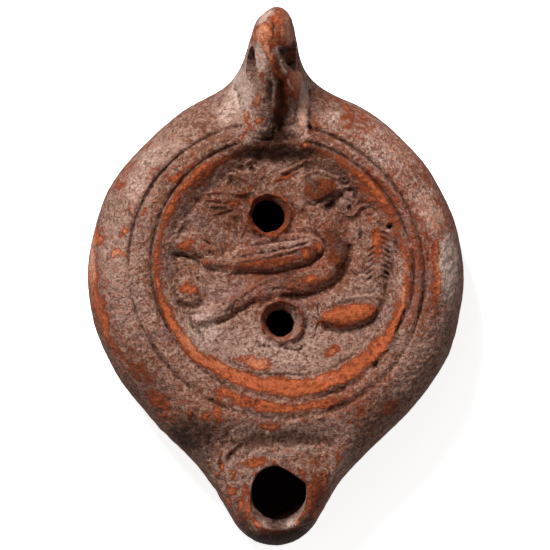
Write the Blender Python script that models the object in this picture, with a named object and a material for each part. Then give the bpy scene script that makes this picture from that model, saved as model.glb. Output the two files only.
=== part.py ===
"""A Roman oil lamp of fired clay, pressed in a two-part mould: one hollow body with a sunken disc in relief, a rounded
nozzle and a pierced handle. Blender units are metres; every size below is in millimetres and turned to metres once."""

import math

import bmesh
import bpy
import numpy as np

MM = 0.001

# Body, seen from above: a round bowl about the origin, with the nozzle towards -Y and the handle towards +Y
BODY_RADIUS = 38.85
FOOT_RADIUS = 19.0
FOOT_GROOVE_WIDTH = 1.6
FOOT_GROOVE_DEPTH = 0.8
SEAM_HEIGHT = 14.5
SHOULDER_HEIGHT = 27.2
SHOULDER_WIDTH = 9.6
UNDERSIDE_SLOPE = 0.36
UNDERSIDE_ROUNDING = 12.0
WALL = 2.8

# Disc: its floor lies below the rim's two ridges, which run round a centre of their own
DISC_CENTRE = (1.5, 1.5)
DISC_RADIUS = 24.0
DISC_DEPTH = 3.3
DISC_DISH = 0.6
DISC_THICKNESS = 2.6
DISC_SLOPE = 4.4
RIM_OVAL = 0.65
INNER_GROOVE_OUT = 3.2
OUTER_GROOVE_OUT = 6.7
OUTER_GROOVE_SHIFT = (-1.2, -0.3)
GROOVE_HALF_WIDTH = 0.9
INNER_GROOVE_DEPTH = 0.8
OUTER_GROOVE_DEPTH = 0.7

# Holes through the top
FILLING_HOLE = (-1.35, 12.6)
FILLING_HOLE_RADIUS = 3.5
AIR_HOLE = (1.1, -9.3)
AIR_HOLE_RADIUS = 3.0
COLLAR_WIDTH = 1.5
COLLAR_HEIGHT = 0.9
COLLAR_TAPER = 0.7

# Nozzle
NOZZLE_REACH = 55.9
NOZZLE_X = -0.1
NOZZLE_TIP_RADIUS = 10.0
NOZZLE_ROOT_Y = -17.0
NOZZLE_ROOT_RADIUS = 24.5
NOZZLE_BLEND = 7.8
NOZZLE_START = 29.5
NOZZLE_LEVEL = 35.0
NOZZLE_TOP_HEIGHT = 22.8
NOZZLE_TOP_RADIUS = 10.6
NOZZLE_VALLEY_HEIGHT = 21.2
NOZZLE_ROUNDING = 3.6
WICK_HOLE = (0.7, -45.4)
WICK_HOLE_RADII = (5.75, 6.6)
WICK_HOLE_TAPER = 0.9

# Handle: a pierced fin that rises from the disc's rim and leans back
HANDLE_REACH = 56.1
HANDLE_TIP_RADIUS = 3.8
HANDLE_TIP_X = -0.2
HANDLE_ROOT = (-1.4, 29.2)
HANDLE_ROOT_RADIUS = 9.7
HANDLE_BLEND = 8.6
HANDLE_X = -0.5
HANDLE_FOOT = 28.6
HANDLE_CREST = 48.5
HANDLE_HEIGHT = 45.0
HANDLE_BACK_TOP = 41.0
HANDLE_BACK_UNDER = 30.5
HANDLE_TIP_HEIGHT = 36.0
HANDLE_HALF_WIDTH = 7.0
HANDLE_FOOT_SPREAD = 2.6
HANDLE_FLANK_DROP = 15.0
HANDLE_UNDER_START = (36.5, 9.0)
HANDLE_SPREAD_START = 35.0
HANDLE_HOLE = (44.2, 34.0)
HANDLE_HOLE_RADII = (3.3, 5.6)
HANDLE_HOLE_LEAN = 30.0
HANDLE_GROOVE_X = 1.0
HANDLE_GROOVE_DEPTH = 1.8

# Relief on the disc: the middle line, the half width at each point and the height of each form
RELIEF = {
    "bundle": ([(-14.0, 3.0), (-9.4, 3.0), (-5.2, 3.4), (0.0, 4.3), (5.2, 5.5), (7.9, 6.1)],
               [1.6, 2.4, 3.1, 3.5, 3.5, 2.9], 1.7),
    "coil": ([(8.6, 14.0), (12.1, 8.6), (12.5, 4.5), (11.0, 1.4), (7.3, -0.7), (2.1, -1.8), (-2.7, -2.2),
              (-7.3, -4.3), (-12.5, -7.0), (-16.7, -9.1)],
             [2.6, 2.6, 2.9, 3.0, 2.9, 2.7, 2.6, 2.9, 3.1, 2.2], 1.4),
    "foot": ([(-20.0, 7.4), (-17.0, 7.2), (-12.5, 5.0)], [2.4, 2.8, 1.4], 1.5),
    "head": ([(8.2, 17.4), (10.8, 18.4)], [4.2, 4.0], 1.7),
    "wing": ([(19.8, 10.0), (20.8, 6.0), (21.0, 1.0)], [2.6, 3.0, 2.4], 1.2),
    "curl": ([(15.0, 14.4), (16.6, 14.8)], [2.6, 2.4], 1.0),
    "knob": ([(-18.4, -2.1), (-17.8, -2.6)], [3.3, 3.3], 1.3),
    "leaf": ([(9.0, -9.5), (14.6, -8.6), (20.2, -6.6)], [1.5, 3.0, 2.0], 1.4),
    "fold": ([(5.2, -5.5), (11.5, -3.4), (17.7, -1.4), (22.4, 0.6)], [1.8, 2.1, 2.1, 1.6], 0.8),
    "locks": ([(-12.0, 16.5), (-7.5, 18.5), (-5.5, 20.5)], [2.6, 3.2, 2.8], 0.9),
}
RELIEF_SOFTNESS = 0.35

# How finely the surfaces are divided
DISC_CELLS = 36
SHOULDER_RINGS = 8
UNDERSIDE_RINGS = 7
CAVITY_CELLS = 10
CAVITY_RINGS = 6
HOLE_SIDES = 28
SPOKE_CROWDING = 0.4


def smooth_min(a, b, blend):
    """The lower of two values, rounded where they come within the blend of each other."""
    share = np.clip(0.5 + 0.5 * (b - a) / blend, 0, 1)
    return b * (1 - share) + a * share - blend * share * (1 - share)


def smooth_max(a, b, blend):
    return -smooth_min(-a, -b, blend)


def ease(start, end, value):
    """Runs smoothly from 0 at start to 1 at end."""
    share = np.clip((value - start) / (end - start), 0, 1)
    return share * share * (3 - 2 * share)


def quarter(share, power=2.0):
    """A quarter of a rounded curve: 0 and steep at share 0, 1 and level at share 1."""
    share = np.clip(share, 0, 1)
    return (1 - (1 - share) ** power) ** (1 / power)


def tapered(x, y, start, start_radius, end, end_radius):
    """Distance to the hull of two circles, negative inside."""
    along = np.subtract(end, start)
    length = math.hypot(*along)
    ux, uy = along / length
    px, py = x - start[0], y - start[1]
    across, up = np.abs(px * uy - py * ux), px * ux + py * uy
    lean = (start_radius - end_radius) / length
    upright = math.sqrt(1 - lean * lean)
    where = upright * up - lean * across
    return np.where(
        where < 0,
        np.hypot(across, up) - start_radius,
        np.where(
            where > upright * length,
            np.hypot(across, up - length) - end_radius,
            upright * across + lean * up - start_radius,
        ),
    )


def bowl_edge(x, y):
    """Distance from the outline of the body and nozzle alone, negative inside."""
    body = np.hypot(x, y) - BODY_RADIUS
    tip = (NOZZLE_X, NOZZLE_TIP_RADIUS - NOZZLE_REACH)
    nozzle = tapered(x, y, (NOZZLE_X, NOZZLE_ROOT_Y), NOZZLE_ROOT_RADIUS, tip, NOZZLE_TIP_RADIUS)
    return smooth_min(body, nozzle, NOZZLE_BLEND)


def outer_edge(x, y):
    """Distance from the whole lamp's outline, negative inside."""
    tip = (HANDLE_TIP_X, HANDLE_REACH - HANDLE_TIP_RADIUS)
    handle = tapered(x, y, HANDLE_ROOT, HANDLE_ROOT_RADIUS, tip, HANDLE_TIP_RADIUS)
    return smooth_min(bowl_edge(x, y), handle, HANDLE_BLEND)


def outline(edge, angles, inset=0.0):
    """The points where rays from the disc's centre meet the outline, or a line that far inside it."""
    near, far = np.zeros(len(angles)), np.full(len(angles), 2 * HANDLE_REACH)
    cos, sin = np.cos(angles), np.sin(angles)
    for _ in range(40):
        middle = (near + far) / 2
        inside = edge(DISC_CENTRE[0] + middle * cos, DISC_CENTRE[1] + middle * sin) < -inset
        near, far = np.where(inside, middle, near), np.where(inside, far, middle)
    return np.stack([DISC_CENTRE[0] + near * cos, DISC_CENTRE[1] + near * sin], axis=1)


def handle_zone(x, y):
    """1 on the handle behind the body, 0 away from it."""
    beside = 1 - ease(HANDLE_HALF_WIDTH, HANDLE_HALF_WIDTH + 4.0, np.abs(x - HANDLE_X))
    return beside * ease(HANDLE_SPREAD_START, BODY_RADIUS + 3.0, y)


def nozzle_zone(x, y):
    """1 on the nozzle, 0 on the body."""
    beside = 1 - ease(NOZZLE_TIP_RADIUS, 2 * NOZZLE_TIP_RADIUS, np.abs(x - NOZZLE_X))
    return ease(NOZZLE_START, NOZZLE_LEVEL, -y) * beside


def seam_height(x, y):
    """Height of the widest line, which climbs from the body to the handle's tip."""
    climb = np.clip((y - BODY_RADIUS) / (HANDLE_REACH - BODY_RADIUS), 0, 1)
    return SEAM_HEIGHT + (HANDLE_TIP_HEIGHT - SEAM_HEIGHT) * climb**0.85 * handle_zone(x, y)


def handle_crest(y):
    """Height of the handle's top edge: up the front from the disc's rim, over the crest and down to the tip."""
    front = np.clip((y - HANDLE_FOOT) / (HANDLE_CREST - HANDLE_FOOT), 0, 1)
    back = np.clip((y - HANDLE_CREST) / (HANDLE_REACH - HANDLE_CREST), 0, 1)
    rise = (HANDLE_HEIGHT - SHOULDER_HEIGHT + 1.0) * quarter(front, 1.5)
    return SHOULDER_HEIGHT - 1.0 + rise - (HANDLE_HEIGHT - HANDLE_BACK_TOP) * back**2


def handle_roof(x, y):
    """The handle's top surface: the crest with steep flanks, and a groove up its front."""
    spread = HANDLE_FOOT_SPREAD * (1 - ease(HANDLE_FOOT, HANDLE_SPREAD_START + 5.0, y))
    aside = np.abs(x - HANDLE_X) / (HANDLE_HALF_WIDTH + spread)
    roof = handle_crest(y) - HANDLE_FLANK_DROP * aside**1.7
    groove_width = 3.4 - 2.2 * ease(HANDLE_FOOT, HANDLE_CREST - 6.0, y)
    groove = np.exp(-(((x - HANDLE_GROOVE_X) / groove_width) ** 2))
    groove = groove * (1 - ease(HANDLE_CREST - 10.0, HANDLE_CREST - 4.0, y))
    return (roof - HANDLE_GROOVE_DEPTH * groove) * ease(HANDLE_FOOT - 0.2, HANDLE_FOOT + 1.5, y)


def disc_distance(x, y, centre):
    """Distance from a centre near the disc's, a little oval as the rim is."""
    dx, dy = x - centre[0], y - centre[1]
    return np.hypot(dx, dy) + RIM_OVAL * 2 * dx * dy / np.maximum(dx * dx + dy * dy, 1.0)


def sunken_disc(x, y, extra=0.0, spread=0.0):
    """How far the disc's floor lies below the shoulder, or a surface that is deeper and wider by the two amounts."""
    radius = disc_distance(x, y, DISC_CENTRE)
    dish = DISC_DISH * (1 - np.clip(radius / DISC_RADIUS, 0, 1) ** 2)
    foot = DISC_RADIUS + spread - DISC_SLOPE / 2
    return (DISC_DEPTH + dish + extra) * (1 - ease(foot, foot + DISC_SLOPE, radius))


def inner_rim(x, y):
    """Distance from the inner groove, negative towards the disc."""
    return disc_distance(x, y, DISC_CENTRE) - DISC_RADIUS - INNER_GROOVE_OUT


def outer_rim(x, y):
    """Distance from the outer groove, whose centre lies a little aside."""
    return disc_distance(x, y, np.add(DISC_CENTRE, OUTER_GROOVE_SHIFT)) - DISC_RADIUS - OUTER_GROOVE_OUT


def rim_grooves(x, y):
    """Depth of the two grooves round the disc, which stop at the handle's foot."""
    inner = np.exp(-2 * (inner_rim(x, y) / GROOVE_HALF_WIDTH) ** 2)
    outer = np.exp(-2 * (outer_rim(x, y) / GROOVE_HALF_WIDTH) ** 2)
    on_foot = ease(HANDLE_FOOT - 5.0, HANDLE_FOOT, y)
    on_foot = on_foot * (1 - ease(HANDLE_HALF_WIDTH - 1.0, HANDLE_HALF_WIDTH + 1.0, np.abs(x - HANDLE_X)))
    return (INNER_GROOVE_DEPTH * inner + OUTER_GROOVE_DEPTH * outer) * (1 - on_foot)


def along_curve(points, steps=6):
    """A smooth curve through the points, with the share along each span."""
    points = np.array([points[0], *points, points[-1]], float)
    found = []
    for i in range(1, len(points) - 2):
        for t in np.arange(steps) / steps:
            a, b, c, d = points[i - 1 : i + 3]
            found.append(
                0.5 * (2 * b + (c - a) * t + (2 * a - 5 * b + 4 * c - d) * t**2 + (3 * b - a - 3 * c + d) * t**3)
            )
    return np.array([*found, points[-2]])


def raised(x, y, line, half_widths, height):
    """A rounded form along a curve: full height on its middle line, nothing past its half width."""
    curve = along_curve([(*point, width) for point, width in zip(line, half_widths)])
    best = np.zeros(np.shape(x))
    for px, py, width in curve:
        share = np.clip(np.hypot(x - px, y - py) / width, 0, 1)
        best = np.maximum(best, (1 - share**2) ** 0.8)
    return height * best


def relief(x, y):
    """All the disc's forms together, on its floor."""
    total = np.zeros(np.shape(x))
    for line, half_widths, height in RELIEF.values():
        total = smooth_max(total, raised(x, y, line, half_widths, height), RELIEF_SOFTNESS)
    return total


def shoulder_height(x, y, wall=0.0):
    """The rounded shoulder and the nozzle's top, without disc or handle. A wall gives their inside instead."""
    inside = np.maximum(-bowl_edge(x, y) - wall, 0) if wall else np.maximum(-outer_edge(x, y), 0)
    on_nozzle = nozzle_zone(x, y)
    plate = NOZZLE_TOP_RADIUS - np.hypot(x - NOZZLE_X, y - NOZZLE_TIP_RADIUS + NOZZLE_REACH)
    nozzle_roof = NOZZLE_VALLEY_HEIGHT + (NOZZLE_TOP_HEIGHT - NOZZLE_VALLEY_HEIGHT) * ease(-0.8, 0.8, plate)
    roof = SHOULDER_HEIGHT + (nozzle_roof - SHOULDER_HEIGHT) * on_nozzle - wall
    width = SHOULDER_WIDTH + (NOZZLE_ROUNDING - SHOULDER_WIDTH) * on_nozzle - wall
    seam = SEAM_HEIGHT if wall else seam_height(x, y)
    return seam + (roof - seam) * quarter(inside / np.maximum(width, 1.0))


def top_height(x, y):
    """Height of the lamp's upper surface over the point x, y."""
    shoulder, on_handle, seam = shoulder_height(x, y), handle_zone(x, y), seam_height(x, y)
    edge_share = quarter(np.maximum(-outer_edge(x, y), 0) / 2.5)
    roof = handle_roof(x, y)
    handle = roof + (seam + (roof - seam) * edge_share - roof) * on_handle
    surface = smooth_max(shoulder, handle, np.where(x < HANDLE_X, 4.0, 1.6))
    in_disc = 1 - ease(DISC_RADIUS - 0.5, DISC_RADIUS + 1.0, disc_distance(x, y, DISC_CENTRE))
    return surface - sunken_disc(x, y) - rim_grooves(x, y) + in_disc * relief(x, y)


def floor_height(x, y):
    """Height of the underside, before its edge turns up to the seam."""
    reach = np.hypot(x, y)
    bowl = UNDERSIDE_SLOPE * np.maximum(reach - FOOT_RADIUS, 0) * (1 - 0.35 * nozzle_zone(x, y))
    start_y, start_z = HANDLE_UNDER_START
    climb = np.clip((y - start_y) / (HANDLE_REACH - start_y), 0, 1)
    under_handle = start_z + (HANDLE_BACK_UNDER - start_z) * climb**0.8
    return bowl + (under_handle - bowl) * handle_zone(x, y)


def bottom_height(x, y):
    """Height of the lamp's lower surface over the point x, y, outside its foot."""
    inside = np.maximum(-outer_edge(x, y), 0)
    seam, floor = seam_height(x, y), floor_height(x, y)
    narrow = np.maximum(handle_zone(x, y), 0.6 * nozzle_zone(x, y))
    width = UNDERSIDE_ROUNDING + (6.0 - UNDERSIDE_ROUNDING) * narrow
    groove = np.clip(1 - np.abs(np.hypot(x, y) - FOOT_RADIUS - FOOT_GROOVE_WIDTH / 2) / FOOT_GROOVE_WIDTH * 2, 0, 1)
    return seam + (floor - seam) * quarter(inside / width) + FOOT_GROOVE_DEPTH * groove


def cavity_top(x, y):
    """The reservoir's ceiling: one wall below the shoulder, and the disc's own thickness below its floor."""
    return shoulder_height(x, y, WALL) - sunken_disc(x, y, DISC_THICKNESS - WALL, DISC_THICKNESS / 2)


def cavity_bottom(x, y):
    """The reservoir's floor, one wall above the lamp's underside."""
    inside = np.maximum(-bowl_edge(x, y) - WALL, 0)
    bowl = UNDERSIDE_SLOPE * np.maximum(np.hypot(x, y) - FOOT_RADIUS, 0) * (1 - 0.35 * nozzle_zone(x, y))
    width = UNDERSIDE_ROUNDING + (6.0 - UNDERSIDE_ROUNDING) * 0.6 * nozzle_zone(x, y) - WALL
    return SEAM_HEIGHT + (bowl + WALL - SEAM_HEIGHT) * quarter(inside / width)


def crowded(angles):
    """Moves the spokes towards the nozzle and the handle, where the outline is finest."""
    return angles + SPOKE_CROWDING / 2 * np.sin(2 * angles)


def disc_grid(cells):
    """A square grid pressed into a unit circle, and the numbers of its edge points in turn from -45 degrees."""
    a, b = np.meshgrid(np.linspace(-1, 1, cells + 1), np.linspace(-1, 1, cells + 1), indexing="ij")
    wide = np.abs(a) > np.abs(b)
    radius = np.where(wide, a, b)
    safe = np.where(radius == 0, 1, radius)
    angle = np.where(wide, math.pi / 4 * b / safe, math.pi / 2 - math.pi / 4 * a / safe)
    x, y = radius * np.cos(angle), radius * np.sin(angle)
    reach = np.hypot(x, y)
    turned = np.arctan2(y, x)
    turned = turned + (crowded(turned) - turned) * reach**2
    points = np.stack([reach * np.cos(turned), reach * np.sin(turned)], axis=-1).reshape(-1, 2)
    number = np.arange((cells + 1) ** 2).reshape(cells + 1, cells + 1)
    edge = [*number[-1, :-1], *number[::-1, -1][:-1], *number[0, ::-1][:-1], *number[:-1, 0]]
    squares = [
        (number[i, j], number[i + 1, j], number[i + 1, j + 1], number[i, j + 1])
        for i in range(cells)
        for j in range(cells)
    ]
    return points, edge, squares


def bridge(outer, inner):
    """Faces between two rings, the inner one having as many points as the outer one or half as many."""
    count, step = len(inner), len(outer) // len(inner)
    faces = []
    for i in range(count):
        a, b = inner[i], inner[(i + 1) % count]
        if step == 1:
            faces.append((a, outer[i], outer[(i + 1) % count], b))
        else:
            first, second, third = outer[2 * i], outer[2 * i + 1], outer[(2 * i + 2) % len(outer)]
            faces += [(a, first, second), (a, second, b), (b, second, third)]
    return faces


def closed_form(name, top_rings, top_core, bottom_rings):
    """A closed mesh: a grid core and rings over the top, rings under it and a flat foot. Rings are arrays of points."""
    core_points, core_edge, core_faces = top_core
    points, faces = [*map(tuple, core_points)], list(core_faces)
    ring = list(core_edge)
    for new in top_rings:
        start = len(points)
        points += map(tuple, new)
        now = list(range(start, start + len(new)))
        faces += bridge(now, ring)
        ring = now
    for new in bottom_rings:
        start = len(points)
        points += map(tuple, new)
        now = list(range(start, start + len(new)))
        faces += [face[::-1] for face in bridge(ring, now)]
        ring = now
    faces.append(ring[::-1])
    mesh = bpy.data.meshes.new(name)
    mesh.from_pydata([tuple(MM * value for value in point) for point in points], [], faces)
    form = bpy.data.objects.new(name, mesh)
    bpy.context.collection.objects.link(form)
    work = bmesh.new()
    work.from_mesh(mesh)
    bmesh.ops.triangulate(work, faces=work.faces)
    bmesh.ops.recalc_face_normals(work, faces=work.faces)
    work.to_mesh(mesh)
    work.free()
    return form


def with_height(plan, height):
    """Plan points given their height, as an array of x, y, z."""
    return np.column_stack([plan, height(plan[:, 0], plan[:, 1])])


def drawn_in(ring, share, radius):
    """Ring points drawn in towards a circle about the origin: on it at share 0, in place at share 1."""
    reach = np.hypot(ring[:, 0], ring[:, 1])[:, None]
    circle = ring / reach * radius
    return circle + (ring - circle) * share


def ring_ways(cells):
    """Directions of the spokes that leave a disc grid's edge, from the disc's centre."""
    spokes = crowded(math.radians(-45) + np.arange(4 * cells) * math.pi / (2 * cells))
    return spokes, np.stack([np.cos(spokes), np.sin(spokes)], axis=1)


def outer_form():
    """The lamp's outside, with no holes."""
    core, core_edge, core_faces = disc_grid(DISC_CELLS)
    core_radius = DISC_RADIUS - DISC_SLOPE / 2
    core = DISC_CENTRE + core * core_radius
    spokes, ways = ring_ways(DISC_CELLS)
    edge = outline(outer_edge, spokes)
    inner_groove, outer_groove = outline(inner_rim, spokes), outline(outer_rim, spokes)
    inner_lip = inner_groove - 1.3 * GROOVE_HALF_WIDTH * ways
    start = outer_groove + 1.3 * GROOVE_HALF_WIDTH * ways
    slope_middle = (DISC_CENTRE + ways * core_radius + inner_lip) / 2
    rim = [slope_middle, inner_lip, inner_groove, (inner_groove + outer_groove) / 2, outer_groove, start]
    top_rings = [with_height(ring, top_height) for ring in rim]
    for i in range(1, SHOULDER_RINGS):
        share = math.sin(math.pi / 2 * i / SHOULDER_RINGS)
        top_rings.append(with_height(start + (edge - start) * share, top_height))
    top_rings.append(with_height(edge, seam_height))
    groove_edge, groove_middle = FOOT_RADIUS + FOOT_GROOVE_WIDTH, FOOT_RADIUS + FOOT_GROOVE_WIDTH / 2
    bottom_rings = []
    for i in range(1, UNDERSIDE_RINGS + 1):
        share = math.cos(math.pi / 2 * i / UNDERSIDE_RINGS)
        bottom_rings.append(with_height(drawn_in(edge[::2], share, groove_edge), bottom_height))
    bottom_rings.append(with_height(drawn_in(edge[::2], 0, groove_middle), bottom_height))
    bottom_rings.append(with_height(drawn_in(edge[::2], 0, FOOT_RADIUS), lambda x, y: 0 * x))
    return closed_form("oil_lamp", top_rings, (with_height(core, top_height), core_edge, core_faces), bottom_rings)


def cavity_form():
    """The reservoir: the body and nozzle, one wall smaller."""
    core, core_edge, core_faces = disc_grid(CAVITY_CELLS)
    core_radius = DISC_RADIUS
    core = DISC_CENTRE + core * core_radius
    spokes, ways = ring_ways(CAVITY_CELLS)
    edge = outline(bowl_edge, spokes, WALL)
    start = DISC_CENTRE + ways * core_radius
    top_rings = []
    for i in range(1, CAVITY_RINGS):
        share = math.sin(math.pi / 2 * i / CAVITY_RINGS)
        top_rings.append(with_height(start + (edge - start) * share, cavity_top))
    top_rings.append(with_height(edge, lambda x, y: SEAM_HEIGHT + 0 * x))
    bottom_rings = []
    for i in range(1, CAVITY_RINGS):
        share = math.cos(math.pi / 2 * i / CAVITY_RINGS)
        bottom_rings.append(with_height(drawn_in(edge, share, FOOT_RADIUS), cavity_bottom))
    bottom_rings.append(with_height(drawn_in(edge, 0, FOOT_RADIUS), lambda x, y: WALL + 0 * x))
    return closed_form("reservoir", top_rings, (with_height(core, cavity_top), core_edge, core_faces), bottom_rings)


def bore(name, low, high, low_radii, high_radii):
    """A straight cutter between two centres, oval where its two radii differ. Radii lie along X and across."""
    low, high = np.array(low, float), np.array(high, float)
    along = (high - low) / np.linalg.norm(high - low)
    first = np.array([1.0, 0, 0]) if abs(along[0]) < 0.9 else np.array([0, 1.0, 0])
    first = first - along * first.dot(along)
    first /= np.linalg.norm(first)
    second = np.cross(along, first)
    work = bmesh.new()
    rings = []
    for centre, radii in ((low, low_radii), (high, high_radii)):
        ring = []
        for i in range(HOLE_SIDES):
            angle = 2 * math.pi * i / HOLE_SIDES
            point = centre + first * radii[0] * math.cos(angle) + second * radii[1] * math.sin(angle)
            ring.append(work.verts.new(tuple(MM * point)))
        rings.append(ring)
        work.faces.new(ring)
    for i in range(HOLE_SIDES):
        j = (i + 1) % HOLE_SIDES
        work.faces.new((rings[0][i], rings[0][j], rings[1][j], rings[1][i]))
    bmesh.ops.recalc_face_normals(work, faces=work.faces)
    mesh = bpy.data.meshes.new(name)
    work.to_mesh(mesh)
    work.free()
    form = bpy.data.objects.new(name, mesh)
    bpy.context.collection.objects.link(form)
    return form


def hole_cutters():
    """The holes that open the reservoir and pierce the handle."""
    inside, above = SEAM_HEIGHT, SHOULDER_HEIGHT + 5.0
    round_filling, round_air = (FILLING_HOLE_RADIUS,) * 2, (AIR_HOLE_RADIUS,) * 2
    lower_wick = tuple(radius - WICK_HOLE_TAPER for radius in WICK_HOLE_RADII)
    hole_y, hole_z = HANDLE_HOLE
    side = BODY_RADIUS / 2
    handle = bore("handle_hole", (-side, hole_y, hole_z), (side, hole_y, hole_z), HANDLE_HOLE_RADII, HANDLE_HOLE_RADII)
    turn_about_x(handle, hole_y, hole_z, -HANDLE_HOLE_LEAN)
    return [
        bore("filling_hole", (*FILLING_HOLE, inside), (*FILLING_HOLE, above), round_filling, round_filling),
        bore("air_hole", (*AIR_HOLE, inside), (*AIR_HOLE, above), round_air, round_air),
        bore("wick_hole", (*WICK_HOLE, inside), (*WICK_HOLE, above), lower_wick, WICK_HOLE_RADII),
        handle,
    ]


def turn_about_x(form, y, z, degrees):
    """Turns a form's points about a line along X through y and z."""
    angle = math.radians(degrees)
    for vertex in form.data.vertices:
        across, up = vertex.co.y - MM * y, vertex.co.z - MM * z
        vertex.co.y = MM * y + across * math.cos(angle) - up * math.sin(angle)
        vertex.co.z = MM * z + across * math.sin(angle) + up * math.cos(angle)


def collars():
    """The raised lips round the filling hole and the air hole, standing in the disc's clay."""
    floor = SHOULDER_HEIGHT - DISC_DEPTH - DISC_DISH
    forms = []
    for name, (x, y), radius in (
        ("filling_collar", FILLING_HOLE, FILLING_HOLE_RADIUS),
        ("air_collar", AIR_HOLE, AIR_HOLE_RADIUS),
    ):
        wide, narrow = (radius + COLLAR_WIDTH,) * 2, (radius + COLLAR_WIDTH - COLLAR_TAPER,) * 2
        low, high = (x, y, floor - DISC_THICKNESS / 2), (x, y, floor + COLLAR_HEIGHT)
        forms.append(bore(name, low, high, wide, narrow))
    return forms


def fired_clay():
    """Red-brown clay with a worn slip."""
    clay = bpy.data.materials.new("fired_clay")
    clay.use_nodes = True
    shader = clay.node_tree.nodes["Principled BSDF"]
    shader.inputs["Base Color"].default_value = (0.26, 0.115, 0.07, 1)
    shader.inputs["Roughness"].default_value = 0.8
    shader.inputs["Metallic"].default_value = 0.0
    return clay


def combine(form, other, operation):
    """Adds another shape to a form or takes it out, and hides it."""
    other.hide_render = True
    other.display_type = "WIRE"
    boolean = form.modifiers.new(other.name, "BOOLEAN")
    boolean.operation = operation
    boolean.solver = "EXACT"
    boolean.object = other


def main():
    for old in list(bpy.data.objects):
        bpy.data.objects.remove(old)
    lamp = outer_form()
    lamp.data.materials.append(fired_clay())
    for lip in collars():
        combine(lamp, lip, "UNION")
    for cutter in [cavity_form(), *hole_cutters()]:
        combine(lamp, cutter, "DIFFERENCE")
    lamp.data.shade_smooth()
    lamp.data.set_sharp_from_angle(angle=math.radians(40))


main()
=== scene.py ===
"""A Roman oil lamp of mould-pressed, fired clay with a worn slip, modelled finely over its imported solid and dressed
with one weathered-clay finish. Sizes are in millimetres, turned to metres once when a mesh is made."""

import math

import bmesh
import bpy
import numpy as np
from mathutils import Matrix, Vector


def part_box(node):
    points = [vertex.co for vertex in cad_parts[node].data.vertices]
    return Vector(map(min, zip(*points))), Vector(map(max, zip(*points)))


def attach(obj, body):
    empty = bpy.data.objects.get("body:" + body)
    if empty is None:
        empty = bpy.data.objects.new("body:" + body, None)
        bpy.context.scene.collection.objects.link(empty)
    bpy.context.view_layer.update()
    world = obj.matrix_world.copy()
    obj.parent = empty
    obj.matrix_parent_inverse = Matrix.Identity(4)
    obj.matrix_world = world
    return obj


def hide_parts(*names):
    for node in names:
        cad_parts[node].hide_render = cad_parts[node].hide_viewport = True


MM = 0.001
NODE = "oil_lamp"

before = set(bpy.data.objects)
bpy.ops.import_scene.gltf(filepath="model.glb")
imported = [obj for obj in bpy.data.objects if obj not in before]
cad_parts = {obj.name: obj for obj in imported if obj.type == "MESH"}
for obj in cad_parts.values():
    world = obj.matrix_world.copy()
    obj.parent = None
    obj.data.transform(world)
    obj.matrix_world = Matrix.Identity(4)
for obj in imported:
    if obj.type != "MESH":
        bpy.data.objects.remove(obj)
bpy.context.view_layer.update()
LOW, HIGH = (np.array(corner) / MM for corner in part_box(NODE))

# Body, nozzle and handle, seen from above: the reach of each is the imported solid's own
BODY_RADIUS = (HIGH[0] - LOW[0]) / 2
NOZZLE_REACH = -LOW[1]
HANDLE_REACH = HIGH[1]
HANDLE_HEIGHT = HIGH[2] + 0.2
FOOT_RADIUS = 19.0
FOOT_GROOVE_WIDTH = 1.6
FOOT_GROOVE_DEPTH = 0.8
SEAM_HEIGHT = 14.5
SHOULDER_HEIGHT = 27.2
SHOULDER_WIDTH = 9.6
UNDERSIDE_SLOPE = 0.36
UNDERSIDE_ROUNDING = 12.0
WALL = 2.8

# The body isn't quite round: how far it stands out past its circle, by direction in degrees
BODY_SWELL = np.array([
    (-180, 0.3), (-168, -0.1), (-120, 0.1), (-60, 0.2), (-36, 0.6), (-24, 0.9), (-12, 0.6), (0, 0.2), (30, 0.2),
    (48, 0.4), (66, 0.6), (90, 0.5), (110, 0.9), (125, 0.1), (160, 0.1), (180, 0.3),
])

DISC_CENTRE = np.array((1.5, 1.5))
DISC_RADIUS = 24.0
DISC_DEPTH = 3.3
DISC_DISH = 1.1
DISC_THICKNESS = 2.6
DISC_SLOPE = 4.4
RIM_OVAL = 0.65
INNER_GROOVE_OUT = 3.2
OUTER_GROOVE_OUT = 6.7
OUTER_GROOVE_SHIFT = np.array((-1.2, -0.3))
GROOVE_HALF_WIDTH = 0.65
INNER_GROOVE_DEPTH = 0.95
OUTER_GROOVE_DEPTH = 0.9

NOZZLE_X = 0.05
NOZZLE_TIP_RADIUS = 10.2
NOZZLE_ROOT_Y = -17.0
NOZZLE_ROOT_RADIUS = 24.5
NOZZLE_BLEND = 7.8
NOZZLE_START = 28.5
NOZZLE_LEVEL = 35.0
NOZZLE_TOP_HEIGHT = 24.6
NOZZLE_TOP_RADIUS = 10.6
NOZZLE_VALLEY_HEIGHT = 23.8
NOZZLE_ROUNDING = 3.6
NOZZLE_FLATNESS = 0.35
NOZZLE_NARROWNESS = 0.6
NARROW_ROUNDING = 6.0

HANDLE_TIP_RADIUS = 4.05
HANDLE_TIP_X = -0.25
HANDLE_ROOT = (-1.1, 30.2)
HANDLE_ROOT_RADIUS = 9.6
HANDLE_BLEND = 7.0
HANDLE_X = -0.5
HANDLE_FOOT = 27.4
HANDLE_CREST = 50.0
HANDLE_BACK_TOP = 41.0
HANDLE_BACK_UNDER = 30.5
HANDLE_TIP_HEIGHT = 36.0
HANDLE_HALF_WIDTH = 7.0
HANDLE_FOOT_SPREAD = 2.6
HANDLE_FRONT_FULLNESS = 0.15
HANDLE_TIP_CUT = ((-4.7, 52.9), (0.1, 56.7))
HANDLE_CUT_ROUNDING = 0.9
HANDLE_EDGE_ROUNDING = 2.5
HANDLE_FOOT_DROP = 1.0
HANDLE_SIDE_FADE = 4.0
HANDLE_LEFT_BLEND, HANDLE_RIGHT_BLEND = 4.0, 1.6
HANDLE_FLANK_DROP = 15.0
HANDLE_FLANK_POWER = 2.4
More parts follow.
